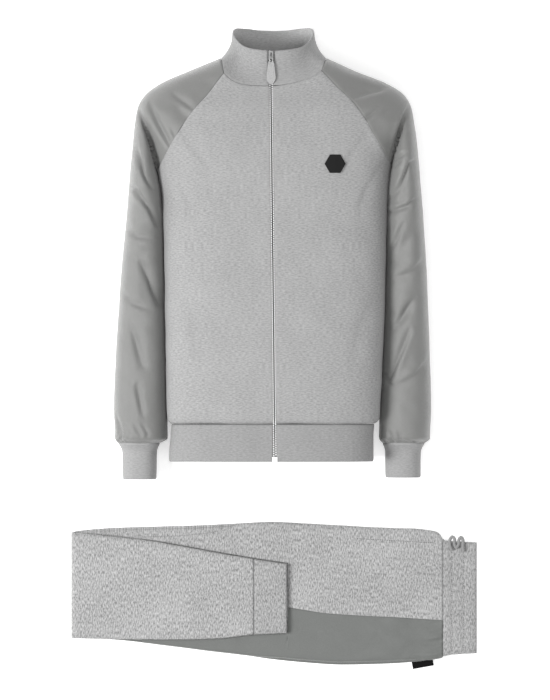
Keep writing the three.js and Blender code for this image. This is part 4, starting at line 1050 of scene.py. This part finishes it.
        cloth = Cloth(f"sleeve_{side.value}", np.array(rows), centre, self.nylon)
        cloth.crease(SLEEVE_FOLDS[side])
        fade = smoothstep(cloth.points[..., 2] / 12)
        fade = fade * (0.25 + 0.75 * smoothstep(cloth.normals[..., 2]))
        cloth.push(fade * (0.8 * waves(cloth.x, cloth.y, 58, 11) + 0.4 * waves(cloth.x, cloth.y, 24, 12)))
        cloth.gather("last_row", 1.5, 11, 19, 2 if side is Side.LEFT else 6)
        cloth.seam("last_row", 1.5, 1.7)
        cloth.seam("first_column", 0.6, 2.5)
        cloth.seam("last_column", 0.6, 2.5)
        piece = cloth.build(self.finishes.sleeve, "sleeve_nylon", [f"jacket_sleeve_{side.value}"])

    def cuff(self, side: Side) -> None:
        """A cuff: a short tube of rib, closed round the wrist."""
        table = CUFFS[side]
        end = float(table.keys[0])
        rows = []
        for y in np.linspace(-161, end, 26):
            inner, outer, height = (float(table.at(name, y)) for name in ("inner", "outer", "height"))
            ring = self.form.ring(y, inner, outer, height / 2, height)
            rows.append(np.concatenate([spaced(ring[:121], 40, 0.6), spaced(ring[120:], 40, 0.6)[1:]]))
        centre = (float(table.at("inner", -161)) + float(table.at("outer", -161))) / 2
        cloth = Cloth(f"cuff_{side.value}", np.array(rows), middle_of(centre, 34), self.rib, closed=True)
        cloth.seam("first_row", 1.2, 2.5)
        cloth.seam("last_row", 0.8, 1.6)
        # the cuffs take the lighter painted-light copy of the rib
        piece = cloth.build(self.finishes.cuff, "rib", [f"jacket_cuff_{side.value}"])

    def collar(self) -> None:
        """The stand collar, from one edge of the zip round the neck to the other."""
        form = self.form
        base = spaced(form.neck_loop(), 180)
        towards = np.stack([-base[:, 0], form.neck_heart - base[:, 1], np.zeros(len(base))], axis=1)
        base = base + towards / np.linalg.norm(towards, axis=1, keepdims=True) * form.collar_gap
        rows = [form.collar_points(base, share) for share in np.linspace(0, 1, 30) ** 1.25]
        points = np.array(rows)
        open_by = mix(form.panel_edge, form.collar_edge, smoothstep((points[:, 0, 1] - 476) / 10))
        points[:, 0, 0] = form.zip_top_x - open_by
        points[:, -1, 0] = form.zip_top_x + open_by
        cloth = Cloth("collar", points, middle_of(0, 72), self.rib)
        cloth.push(0.4 * waves(cloth.x, cloth.y + cloth.points[..., 2], 40, 21))
        cloth.seam("first_row", 0.5, 2.2)
        cloth.seam("last_row", 0.9, 1.6)
        cloth.seam("first_column", 0.8, 1.6)
        cloth.seam("last_column", 0.8, 1.6)
        # the collar's outside gets the slightly lighter painted-light copy of the rib
        piece = cloth.build(self.finishes.collar, "rib", ["jacket_collar"])
        # the inner side of the collar gets the much lighter painted-light copy of the rib
        piece.data.materials.append(self.finishes.collar_inside)
        piece.modifiers["thickness"].material_offset = 1

    def hem_band(self) -> None:
        """The hem band, from one edge of the zip round the back to the other."""
        form = self.form
        angle = np.linspace(-math.pi, math.pi, 401)
        sine, cosine = np.sin(angle), np.cos(angle)
        share = np.sign(sine) * np.abs(sine) ** (2 / form.body_power)
        arc = np.sign(cosine) * np.abs(cosine) ** (2 / form.body_power)
        rows = []
        for y in np.linspace(-127.2, form.hem_end, 24):
            left, right, depth = (float(HEM.at(name, y)) for name in ("left", "right", "depth"))
            middle = depth / 2
            x = np.where(share < 0, -share * left, share * right)
            z = np.where(arc > 0, np.maximum(0, middle - (middle + form.back_sink) * arc), middle - middle * arc)
            ring = np.stack([x, np.full(401, y), z], axis=1)
            gap = float(form.zip_x(y))
            kept = ring[(z < middle) | (np.abs(x - gap) >= form.panel_edge)]
            ends = [[[gap + s * form.panel_edge, y, depth]] for s in (-1, 1)]
            rows.append(spaced(np.concatenate([ends[0], kept, ends[1]]), 340))
        cloth = Cloth("hem_band", np.array(rows), middle_of(0, 80), self.rib)
        fade = smoothstep(cloth.points[..., 2] / 12)
        cloth.push(fade * 0.5 * waves(cloth.x, cloth.points[..., 2], 60, 31))
        cloth.seam("first_row", 0.7, 2.2)
        cloth.seam("last_row", 0.9, 1.6)
        cloth.seam("first_column", 0.8, 1.6)
        cloth.seam("last_column", 0.8, 1.6)
        piece = cloth.build(self.finishes.rib, "rib", ["jacket_hem_band"])


@dataclass
class Zip:
    """The zip: woven tapes, a chain of small metal teeth, and the metal nodes that keep their CAD shape."""

    form: JacketForm
    finishes: Finishes
    top: float = 503.4
    bottom: float = -181.6
    pitch: float = 1.95
    tooth: tuple[float, float, float] = (1.8, 2.3, 2.0)
    offset: float = 1.8
    under: float = 0.2
    sunk: float = 2.0

    def build(self) -> None:
        """Makes the tapes and teeth, and dresses the metal nodes."""
        for sign, name in ((-1, "left"), (1, "right")):
            self.tape(sign, name)
        self.teeth()
        metal("zip_slider", BODY, self.finishes.slider)
        metal("zip_pull_tab", "pull_tab", self.finishes.metal)
        metal("zip_box", BODY, self.finishes.metal)

    def tape(self, sign: int, name: str) -> None:
        """One tape, from beside the teeth to under the front panel."""
        y = np.linspace(self.top, self.bottom, 230)
        rows = []
        for share in np.linspace(0, 1, 9):
            x = self.form.zip_x(y) + sign * mix(3, 12, share)
            rows.append(np.stack([x, y, self.form.zip_z(y) - 3.3 - 2.2 * share], axis=1))
        points = np.array(rows).transpose(1, 0, 2)
        cloth = Cloth(f"tape_{name}", points, middle_of(0, 60), 0.9)
        piece = cloth.build(self.finishes.tape, "zip_tape", [f"zip_tape_{name}"])

    def teeth(self) -> None:
        """The chain: teeth that reach over from either side in turn, each a small rounded block."""
        y = np.linspace(self.top - 0.8, self.bottom + 0.8, 4000)
        depth = self.under + self.sunk * smoothstep((y - 385) / 40) * smoothstep((470 - y) / 20)
        line = np.stack([self.form.zip_x(y), y, self.form.zip_z(y) - depth], axis=1)
        length = np.concatenate([[0], np.cumsum(np.linalg.norm(np.diff(line, axis=0), axis=1))])
        count = int(length[-1] / self.pitch)
        bm = bmesh.new()
        for i in range(count + 1):
            at = [float(np.interp(i * self.pitch, length, line[:, k])) for k in range(3)]
            ahead = [float(np.interp(i * self.pitch + 2, length, line[:, k])) for k in range(3)]
            slope = math.atan2(ahead[2] - at[2], at[1] - ahead[1])
            side = self.offset if i % 2 else -self.offset
            place = Matrix.Translation(Vector((at[0] + side, at[1], at[2])) * MM) @ Matrix.Rotation(-slope, 4, "X")
            bmesh.ops.create_cube(bm, size=1.0, matrix=place @ Matrix.Diagonal((*[v * MM for v in self.tooth], 1.0)))
        bmesh.ops.bevel(
            bm, geom=bm.edges[:], offset=0.3 * MM, offset_type="OFFSET", segments=1, profile=0.5, affect="EDGES",
            material=-1,
        )
        # the teeth's near-white finish is a painted highlight of the silver
        piece = mesh_object("zip_teeth", bm, self.finishes.teeth)
        settle(piece, ["zip_chain"])
        log.info("zip_teeth: %d teeth", count + 1)


def metal(node: str, body: str, finish: bpy.types.Material, bevel: float = 0.35) -> None:
    """Stands a piece with softened edges in place of a hard CAD node of the same form.

    Args:
        node: the CAD node.
        body: the body that it rides on.
        finish: its material.
        bevel: width of the softened edges.
    """
    source = bpy.data.objects[node]
    bm = bmesh.new()
    bm.from_mesh(source.data)
    bmesh.ops.transform(bm, matrix=source.matrix_world, verts=bm.verts)
    bmesh.ops.remove_doubles(bm, verts=bm.verts, dist=1e-6)
    bmesh.ops.dissolve_limit(bm, angle_limit=math.radians(3), verts=bm.verts, edges=bm.edges)
    sharp = [e for e in bm.edges if len(e.link_faces) == 2 and e.calc_face_angle(0) > math.radians(40)]
    bmesh.ops.bevel(
        bm, geom=sharp, offset=bevel * MM, offset_type="OFFSET", segments=2, profile=0.5, affect="EDGES",
        clamp_overlap=True, material=-1,
    )
    bmesh.ops.triangulate(bm, faces=[f for f in bm.faces if len(f.verts) > 4])
    piece = mesh_object(f"{node}_soft", bm, finish)
    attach(piece, body)
    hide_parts(node)
    log.info("%s: edges softened", node)


@dataclass
class Badge:
    """A plain black hexagon with a raised rim on the wearer's left chest, flat at its top and bottom."""

    form: JacketForm
    finishes: Finishes
    x: float = 103
    y: float = 312
    radius: float = 17.8
    lift: float = 0.3
    thick: float = 1.8

    def build(self) -> None:
        """Makes the badge and lays it on the cloth."""
        bm = bmesh.new()
        bmesh.ops.create_circle(bm, cap_ends=True, segments=6, radius=self.radius)
        bmesh.ops.rotate(bm, verts=bm.verts, matrix=Matrix.Rotation(math.pi / 6, 3, "Z"))
        face = bm.faces[:]
        rim = bmesh.ops.inset_region(bm, faces=face, thickness=1.6, depth=0.0)["faces"]
        inner = [f for f in bm.faces if f not in rim]
        bmesh.ops.inset_region(bm, faces=inner, thickness=0.5, depth=-0.5)
        bmesh.ops.subdivide_edges(bm, edges=bm.edges[:], cuts=5, use_grid_fill=True)
        bmesh.ops.triangulate(bm, faces=[f for f in bm.faces if len(f.verts) > 4])
        made = bmesh.ops.solidify(bm, geom=bm.faces[:], thickness=self.thick)
        log.info("chest badge: %d faces", len(made["geom"]))
        low = min(v.co.z for v in bm.verts)
        for vert in bm.verts:
            x, y = self.x + vert.co.x, self.y + vert.co.y
            ground = float(self.form.heights(x, y)[0]) + self.lift + 0.3
            vert.co = Vector((x, y, ground + vert.co.z - low)) * MM
        bmesh.ops.recalc_face_normals(bm, faces=bm.faces)
        piece = mesh_object("chest_patch", bm, self.finishes.badge)
        settle(piece, ["chest_badge"])


LOWER = Table(
    "x bottom top",
    (-345.5, -493, -311.5), (-320, -493.5, -308), (-270, -496, -304.5), (-205, -503, -302.5), (-134, -512, -300.5),
    (-60, -521, -297), (0, -529.5, -294.5), (56, -535, -297.5), (115, -538.5, -300.5), (185, -537, -304.5),
    (246, -533, -306.6), (264, -530, -308.6), (274, -527.5, -310.4), (281, -526, -313.5), (286, -524.8, -319.5),
    (289, -523.5, -326), (302, -521.5, -327), (345.5, -518.5, -329.5),
)
UPPER = Table(
    "x bottom top",
    (-345.5, -492.5, -312), (-290, -494, -318), (-221, -494.5, -325), (-158, -494.5, -335), (-97, -493, -346.5),
    (-34, -486.5, -357), (22.5, -484, -365.5),
)
NYLON_SEAM = Table(
    "x y", (22.5, -440), (56, -445.5), (90, -450.5), (141, -454), (210, -457.5), (290, -462.5)
)
KNIT_EDGE = Table("x y", (-255, -319.6), (-173, -318), (-115, -312.5), (-78, -306), (-58, -297.2))
PLY_EDGE = Table(
    "z inset",
    (0, 2.6), (1.2, 0.6), (2.2, 0.3), (3.2, 0.6), (4.3, 2.8), (5.4, 0.8), (6.4, 0.4), (7.4, 0.8), (8.5, 4),
    (9.6, 4.4), (11.2, 5), (12.6, 8),
)
FOLD_TURN = Table("z inset", (2.4, 4), (6, 1), (13, 0), (21, 0.8), (25.4, 3), (27.2, 8))
EDGE_TURN = Table("inset drop", (0, 6), (0.5, 3.4), (2.2, 1.1), (6, 0.1), (9, 0))
SEAM_TURN = Table("inset drop", (0, 0.5), (1.2, 0.25), (4, 0.05), (7, 0))
END_TURN = Table("inset drop", (0, 6), (0.6, 3), (2.4, 0.8), (8, 0))


@dataclass
class Edge:
    """One long edge of a ply: where it runs, and whether it is a seam or turns down over the plies below."""

    at: Callable[[np.ndarray], np.ndarray]
    seam: bool = False
    turned: Callable[[np.ndarray], np.ndarray] = np.ones_like


@dataclass
class Trousers:
    """The folded trousers: the plies that show, on a stack of hidden ones."""

    finishes: Finishes
    knit: float = 2.2
    nylon: float = 1.5
    rib: float = 2.8
    lower_top: float = 12.6
    lift: float = 0.3
    fold_x: float = -345.5
    ankle_seam: float = -34
    ankle_end: float = 22.5
    waist_seam: float = 288
    waist_end: float = 345.5
    seam_gap: float = 0.4
    clear: float = 0.8
    columns: int = 46

    @property
    def upper_top(self) -> float:
        """Height of the folded-back legs."""
        return 2 * self.lower_top - 0.4 + self.lift + self.knit

    def build(self) -> None:
        """Makes the stack and every ply on it."""
        self.stack()
        self.leg_knit()
        self.leg_side()
        self.folded_leg()
        self.ankle_cuff()
        self.waistband()

    def ply(
        self, name: str, x: np.ndarray, drop: np.ndarray, top: float, thick: float, low: Edge, high: Edge
    ) -> Cloth:
        """Grid of one ply.

        Args:
            name: its name.
            x: places along it.
            drop: least drop of each place below the ply's top.
            top: height of the ply's top.
            thick: its thickness.
            low: its edge towards -Y.
            high: its edge towards +Y.

        Returns:
            The cloth, ready to be shaped.
        """
        start, end = low.at(x)[:, None], high.at(x)[:, None]
        even = np.linspace(0, 1, self.columns + 1)
        close = 0.5 - 0.5 * np.cos(math.pi * even)
        share = mix(even, close, 0.75)[None, :]
        y = mix(start, end, share)
        tables = [SEAM_TURN if edge.seam else EDGE_TURN for edge in (low, high)]
        down = tables[0].at("drop", y - start)
        down = np.maximum(down, tables[1].at("drop", end - y) * high.turned(x)[:, None])
        z = top - np.maximum(down, drop[:, None])
        points = np.stack([np.broadcast_to(x[:, None], y.shape), y, z], axis=2)
        return Cloth(name, points, middle_of(0, -200), thick, floor=z - 1.2)

    def places(self, low: float, high: float, step: float = 3.2) -> np.ndarray:
        """Places along X about one step apart."""
        return np.linspace(low, high, round((high - low) / step) + 1)

    def leg_knit(self) -> None:
        """Knit panel of the upper leg, beside the folded-back legs and up to the waistband."""
        seam = lambda x: np.where(
            x < self.ankle_end + 1, UPPER.at("top", x) + self.clear, NYLON_SEAM.at("y", x) + self.seam_gap / 2
        )
        top_edge = lambda x: np.where(x < -60, KNIT_EDGE.at("y", x), LOWER.at("top", x))
        high = Edge(top_edge, turned=lambda x: 0.6 + 0.4 * smoothstep((x + 58) / 30))
        x = np.concatenate([self.places(-225, self.ankle_end + 0.9), self.places(self.ankle_end + 2.2, 287.6)])
        top = self.lower_top + self.lift + self.knit
        cloth = self.ply("leg_knit", x, np.zeros_like(x), top, self.knit, Edge(seam, seam=True), high)
        cloth.push(0.5 * np.maximum(-0.3, waves(cloth.x, cloth.y, 70, 41)))
        cloth.crease((
            Fold(1.1, 1.5, ((110, -298), (114, -301), (124, -310)), 0.3, 1),
            Fold(0.9, 1.5, ((141, -323), (208, -327.5), (280, -330.6)), 0.5, 1),
            Fold(1.0, 4, ((262, -452), (272, -446), (282, -443)), 0.4),
        ))
        cloth.gather("last_row", 0.45, 13, 24, 3)
        piece = cloth.build(self.finishes.leg_knit, "knit", ["trousers_leg_knit"])

    def leg_side(self) -> None:
        """Smooth nylon side panel of the upper leg."""
        seam = lambda x: np.where(
            x < self.ankle_end + 1, UPPER.at("bottom", x) - self.clear, NYLON_SEAM.at("y", x) - self.seam_gap / 2
        )
        x = np.concatenate([self.places(-225, self.ankle_end + 0.9), self.places(self.ankle_end + 2.2, 287.6)])
        top = self.lower_top + self.lift + self.nylon
        low = Edge(lambda x: LOWER.at("bottom", x) + 4.6 * smoothstep((x + 60) / 90) * smoothstep((268 - x) / 30))
        cloth = self.ply("leg_side", x, np.zeros_like(x), top, self.nylon, low, Edge(seam, seam=True))
        near_waist = smoothstep((cloth.x - 120) / 130)
        cloth.push((0.4 + 1.1 * near_waist) * np.maximum(-0.3, waves(cloth.x, 1.6 * cloth.y, 60, 43)))
        cloth.gather("last_row", 0.9, 14, 34, 7)
        piece = cloth.build(self.finishes.leg_side, "leg_nylon", ["trousers_leg_side"])

    def folded_leg(self) -> None:
        """The lower legs folded back: their top ply, which turns round the fold down to the surface."""
        z = np.linspace(2.4, 27.2, 22)
        turn = self.fold_x + FOLD_TURN.at("inset", z)
        flat = self.places(turn[-1] + 3, self.ankle_seam - self.seam_gap)
        x = np.concatenate([turn, flat])
        drop = np.concatenate([self.upper_top - z, np.zeros_like(flat)])
        low, high = Edge(lambda x: UPPER.at("bottom", x)), Edge(lambda x: UPPER.at("top", x))
        cloth = self.ply("folded_leg", x, drop, self.upper_top, self.knit, low, high)
        cloth.push(0.4 * np.maximum(-0.3, waves(cloth.x, cloth.y, 80, 45)) * smoothstep((cloth.x + 335) / 12))
        cloth.gather("last_row", 0.4, 16, 20, 4)
        cloth.seam("last_row", 0.7, 2)
        piece = cloth.build(self.finishes.leg_knit, "knit", ["trousers_folded_leg"])

    def end_places(self, seam: float, end: float) -> tuple[np.ndarray, np.ndarray]:
        """Places from a seam to an end that turns down, with their drops."""
        inset = np.array([8, 5, 3.4, 2.4, 1.6, 1.0, 0.6, 0.3, 0])
        flat = self.places(seam, end - 9, 2.6)
        return np.concatenate([flat, end - inset]), np.concatenate([np.zeros_like(flat), END_TURN.at("drop", inset)])

    def ankle_cuff(self) -> None:
        """The ankle cuff of the upper leg."""
        x, drop = self.end_places(self.ankle_seam, self.ankle_end)
        low, high = Edge(lambda x: UPPER.at("bottom", x)), Edge(lambda x: UPPER.at("top", x))
        cloth = self.ply("ankle_cuff", x, drop, self.upper_top, self.knit, low, high)
        cloth.seam("first_row", 1.3, 1.6)
        piece = cloth.build(self.finishes.leg_rib, "rib", ["trousers_ankle_cuff"])

    def waistband(self) -> None:
        """The waistband, with its rows of elastic stitching."""
        x, drop = self.end_places(self.waist_seam, self.waist_end)
        low, high = Edge(lambda x: LOWER.at("bottom", x)), Edge(lambda x: LOWER.at("top", x))
        top = self.lower_top + self.lift + self.rib
        cloth = self.ply("waistband", x, drop, top, self.rib, low, high)
        for row in (303.0, 323.0):
            cloth.push(-1.2 * np.exp(-(((cloth.x - row) / 1.9) ** 2)))
        along = cloth.from_edge("first_column")
        cloth.push(0.3 * np.sin(2 * math.pi * along / 9.5 + 0.6 * np.sin(along / 17)) * (cloth.x < 340))
        cloth.seam("first_row", 0.9, 2)
        piece = cloth.build(self.finishes.leg_rib, "rib", ["trousers_waistband"])

    def stack(self) -> None:
        """The hidden plies: two lofts whose edges show each ply as a rounded roll."""
        bm = bmesh.new()
        layer = bm.loops.layers.uv.new("cloth")
        self.loft(bm, layer, LOWER, 0.0, self.waist_end, False)
        self.loft(bm, layer, UPPER, self.lower_top - 0.1, self.ankle_end, True)
        piece = mesh_object("hidden_plies", bm, self.finishes.leg_knit)
        piece.data.materials.append(self.finishes.leg_side)
        settle(piece, ["trousers_hidden_plies"])
        log.info("hidden_plies: made")

    def loft(
        self, bm: bmesh.types.BMesh, layer: bmesh.types.BMLayerItem, table: Table, base: float, end: float, flush: bool
    ) -> None:
        """Rings from the bottom to the top of one stack, closed at both.

        Args:
            bm: receives the loft.
            layer: its UV layer.
            table: outline of the stack.
            base: height of its underside.
            end: its end towards +X.
            flush: whether its lowest edge isn't rounded.
        """
        levels = np.linspace(0, self.lower_top, 34)
        steps = 120
        rings = []
        for z in levels:
            inset = float(PLY_EDGE.at("inset", max(z, 1.2) if flush else z))
            height = base + z
            bottom = max(0.0, (3 - height) * 1.5)
            start = self.fold_x + float(FOLD_TURN.at("inset", height)) + 3 + 0.6 * inset + bottom
            x = np.linspace(start, end - inset, steps + 1)
            low = np.stack([x, table.at("bottom", x) + inset, np.full_like(x, height)], axis=1)
            high = np.stack([x, table.at("top", x) - inset, np.full_like(x, height)], axis=1)
            rings.append(np.concatenate([low, high[::-1], low[:1]]))
        grid = np.array(rings)
        rows, columns = grid.shape[:2]
        made = bmesh.ops.create_grid(bm, x_segments=columns - 1, y_segments=rows - 1, size=0.5)["verts"]
        where = {v: (round((v.co.y + 0.5) * (rows - 1)), round((v.co.x + 0.5) * (columns - 1))) for v in made}
        faces = {face for v in made for face in v.link_faces}
        for v, (i, j) in where.items():
            v.co = Vector(grid[i, j]) * MM
        for face in faces:
            face.smooth = True
            for loop in face.loops:
                loop[layer].uv = (loop.vert.co.y + loop.vert.co.z, loop.vert.co.x)
        bmesh.ops.remove_doubles(bm, verts=made, dist=1e-6)
        rims = [e for e in bm.edges if e.is_boundary]
        caps = bmesh.ops.holes_fill(bm, edges=rims, sides=0)["faces"]
        for face in caps:
            face.smooth = False
            for loop in face.loops:
                loop[layer].uv = (loop.vert.co.y, loop.vert.co.x)
        if not flush:
            for face in faces:
                face.material_index = 1 if face.is_valid and face.calc_center_median().y < -0.44 else 0
        bmesh.ops.recalc_face_normals(bm, faces=bm.faces)


@dataclass
class Stitching:
    """Rows of short thread stitches laid on a surface."""

    name: str
    finish: bpy.types.Material
    length: float = 2.6
    gap: float = 1.3
    width: float = 1.0

    def build(self, lines: Sequence[np.ndarray]) -> None:
        """Args:
            lines: each a row of points in millimetres that the stitches follow.
        """
        bm = bmesh.new()
        for line in lines:
            walked = np.concatenate([[0], np.cumsum(np.linalg.norm(np.diff(line, axis=0), axis=1))])
            at = 0.0
            while at + self.length < walked[-1]:
                ends = [
                    Vector([float(np.interp(at + d, walked, line[:, k])) for k in range(3)]) for d in (0, self.length)
                ]
                way = (ends[1] - ends[0]).normalized()
                turn = way.to_track_quat("X", "Z").to_matrix().to_4x4()
                size = Matrix.Diagonal((self.length / 2 * MM, self.width / 2 * MM, self.width / 3 * MM, 1.0))
                place = Matrix.Translation((ends[0] + ends[1]) / 2 * MM) @ turn @ size
                bmesh.ops.create_icosphere(bm, subdivisions=1, radius=1.0, matrix=place)
                at += self.length + self.gap
        for face in bm.faces:
            face.smooth = True
        piece = mesh_object(self.name, bm, self.finish)
        settle(piece)
        log.info("%s: %d rows", self.name, len(lines))


@dataclass
class SmallParts:
    """Drawstring and side label of the trousers, and the stitched rows."""

    finishes: Finishes
    cord_radius: float = 2.7
    label_centre: tuple[float, float, float] = (253.6, -536.6, 4.3)
    label_size: tuple[float, float] = (36, 12.2)
    label_turn: float = 10
    cord_route: tuple[tuple[float, float, float], ...] = (
        (303, -343, 19), (299.6, -334, 19.4), (299.6, -325, 20), (303.6, -319.6, 20.4), (307.6, -324, 20.6),
        (307.2, -332, 20.4), (310.4, -338, 20.4), (314.4, -332, 20.8), (314.8, -325, 21), (318.4, -320.6, 21),
        (321.8, -325.5, 20.6), (321.4, -335, 19.6), (322.6, -345.5, 18.9),
    )

    def drawstring(self) -> None:
        """The drawstring: one cord whose loops stand at the waistband's corner."""
        route = [Vector(p) for p in self.cord_route]
        ends = [route[0] * 2 - route[1], *route, route[-1] * 2 - route[-2]]
        path = []
        for i in range(len(route) - 1):
            a, b, c, d = ends[i : i + 4]
            for t in np.linspace(0, 1, 10)[:-1]:
                t = float(t)
                bend, twist = 2 * a - 5 * b + 4 * c - d, 3 * b - a - 3 * c + d
                path.append(0.5 * (2 * b + (c - a) * t + bend * t**2 + twist * t**3))
        path.append(route[-1])
        bm = bmesh.new()
        layer = bm.loops.layers.uv.new("cloth")
        sides, walked, rings = 12, 0.0, []
        for i, point in enumerate(path):
            way = (path[min(i + 1, len(path) - 1)] - path[max(i - 1, 0)]).normalized()
            across = way.cross(Vector((0, 0, 1))).normalized()
            over = across.cross(way)
            walked += (point - path[i - 1]).length if i else 0
            ring = [
                bm.verts.new((point + (across * math.cos(a) + over * math.sin(a)) * self.cord_radius) * MM)
                for a in (2 * math.pi * k / sides for k in range(sides))
            ]
            rings.append((walked * MM, ring))
        for (v0, one), (v1, two) in zip(rings, rings[1:]):
            for k in range(sides):
                face = bm.faces.new((one[k], one[(k + 1) % sides], two[(k + 1) % sides], two[k]))
                face.smooth = True
                for loop, uv in zip(face.loops, ((k, v0), (k + 1, v0), (k + 1, v1), (k, v1))):
                    loop[layer].uv = (uv[0] / sides, uv[1])
        bm.faces.new(rings[0][1])
        bm.faces.new(rings[-1][1])
        bmesh.ops.recalc_face_normals(bm, faces=bm.faces)
        piece = mesh_object("drawstring", bm, self.finishes.cord)
        settle(piece, ["trousers_drawstring"])

    def label(self) -> None:
        """The side label: a small black tag, bare, that bends a little."""
        long, wide = self.label_size
        u = np.linspace(-0.5, 0.5, 25)[:, None] * long
        v = np.linspace(-0.5, 0.5, 13)[None, :] * wide
        turn = math.radians(self.label_turn)
        x = self.label_centre[0] + u * math.cos(turn) - v * math.sin(turn)
        y = self.label_centre[1] + u * math.sin(turn) + v * math.cos(turn)
        hem = np.exp(-(((np.abs(u) - long / 2 + 1.6) / 0.5) ** 2)) + 0 * v
        z = self.label_centre[2] + 0.35 - 0.02 * (v - wide / 2) ** 2 * 0.25 - 0.2 * hem + 0 * u
        cloth = Cloth("side_tag", np.stack([x, y, z], axis=2), middle_of(0, -200), 0.8)
        piece = cloth.build(self.finishes.label, "label", ["trousers_side_label"])

    def stitches(self, trousers: Trousers) -> None:
        """Elastic rows of the waistband, and the stitched seam and pocket corner of the leg."""
        top = trousers.lower_top + trousers.lift + trousers.rib - 1.0
        rows = []
        for x in (303.0, 323.0):
            low, high = float(LOWER.at("bottom", x)) + 6, float(LOWER.at("top", x)) - 6
            y = np.linspace(low, high, 60)
            rows.append(np.stack([np.full(60, x) + 0.3 * np.sin(y / 6), y, np.full(60, top)], axis=1))
        leg = trousers.lower_top + trousers.lift + trousers.knit + 0.1
        x = np.linspace(141, 275.4, 60)
        rows.append(np.stack([x, mix(-323, -330.6, (x - 141) / 134.4), np.full(60, leg)], axis=1))
        x = np.linspace(113.9, 124.1, 12)
        rows.append(np.stack([x, mix(-302.9, -310.4, (x - 113.9) / 10.2), np.full(12, leg)], axis=1))
        Stitching("trouser_stitches", self.finishes.thread).build(rows)


@dataclass
class Studio:
    """Pale floor, soft light and the camera straight above the set."""

    height: float = 14.0
    centre: tuple[float, float] = (0.0017, -0.0017)
    field: float = 1.19
    plane: float = 0.045
    floor_grey: float = 0.96
    floor_glow: float = 0.42
    sky: float = 0.49
    key: tuple = ((-3.4, -0.6, 4.1), 1.9, 250)
    top: tuple = ((0.2, -0.1, 4.4), 2.6, 67)

    def camera(self) -> None:
        """The camera, looking straight down with the photo's frame."""
        data = bpy.data.cameras.new("camera")
        data.sensor_width = 36.0
        data.lens = 36.0 * (self.height - self.plane) / self.field
        data.clip_end = 50
        camera = bpy.data.objects.new("camera", data)
        camera.location = (*self.centre, self.height)
        bpy.context.scene.collection.objects.link(camera)
        bpy.context.scene.camera = camera

    def floor(self) -> None:
        """A wide plain floor."""
        bm = bmesh.new()
        bmesh.ops.create_grid(bm, x_segments=1, y_segments=1, size=8)
        bmesh.ops.translate(bm, verts=bm.verts, vec=(0, 0, -0.0004))
        material, _, shader = surface("floor_white", 0.9, specular=0.1)
        shader.inputs["Base Color"].default_value = (*[self.floor_grey] * 3, 1)
        shader.inputs["Emission Color"].default_value = (1, 1, 1, 1)
        shader.inputs["Emission Strength"].default_value = self.floor_glow
        mesh_object("floor", bm, material)

    def light(self, name: str, place: Sequence[float], size: float, power: float) -> None:
        """A square area light that faces the set."""
        data = bpy.data.lights.new(name, "AREA")
        data.size, data.energy = size, power
        lamp = bpy.data.objects.new(name, data)
        lamp.location = place
        lamp.rotation_euler = (-Vector(place)).to_track_quat("-Z", "Y").to_euler()
        bpy.context.scene.collection.objects.link(lamp)

    def build(self) -> None:
        """Makes the floor and the lights."""
        self.floor()
        self.light("key", *self.key)
        self.light("top", *self.top)
        world = bpy.data.worlds.new("soft")
        world.use_nodes = True
        world.node_tree.nodes["Background"].inputs[0].default_value = (1, 1, 1, 1)
        world.node_tree.nodes["Background"].inputs[1].default_value = self.sky
        bpy.context.scene.world = world
        bpy.context.scene.view_settings.view_transform = "Standard"


def main() -> None:
    """Builds the set in order: camera and cord first, then the cloth, the zip and the small parts."""
    studio = Studio()
    studio.camera()
    finishes = Finishes.made()
    small = SmallParts(finishes)
    small.drawstring()
    form = JacketForm()
    Jacket(form, finishes).build()
    Zip(form, finishes).build()
    Badge(form, finishes).build()
    trousers = Trousers(finishes)
    trousers.build()
    small.label()
    small.stitches(trousers)
    studio.build()


if __name__ == "__main__":
    main()
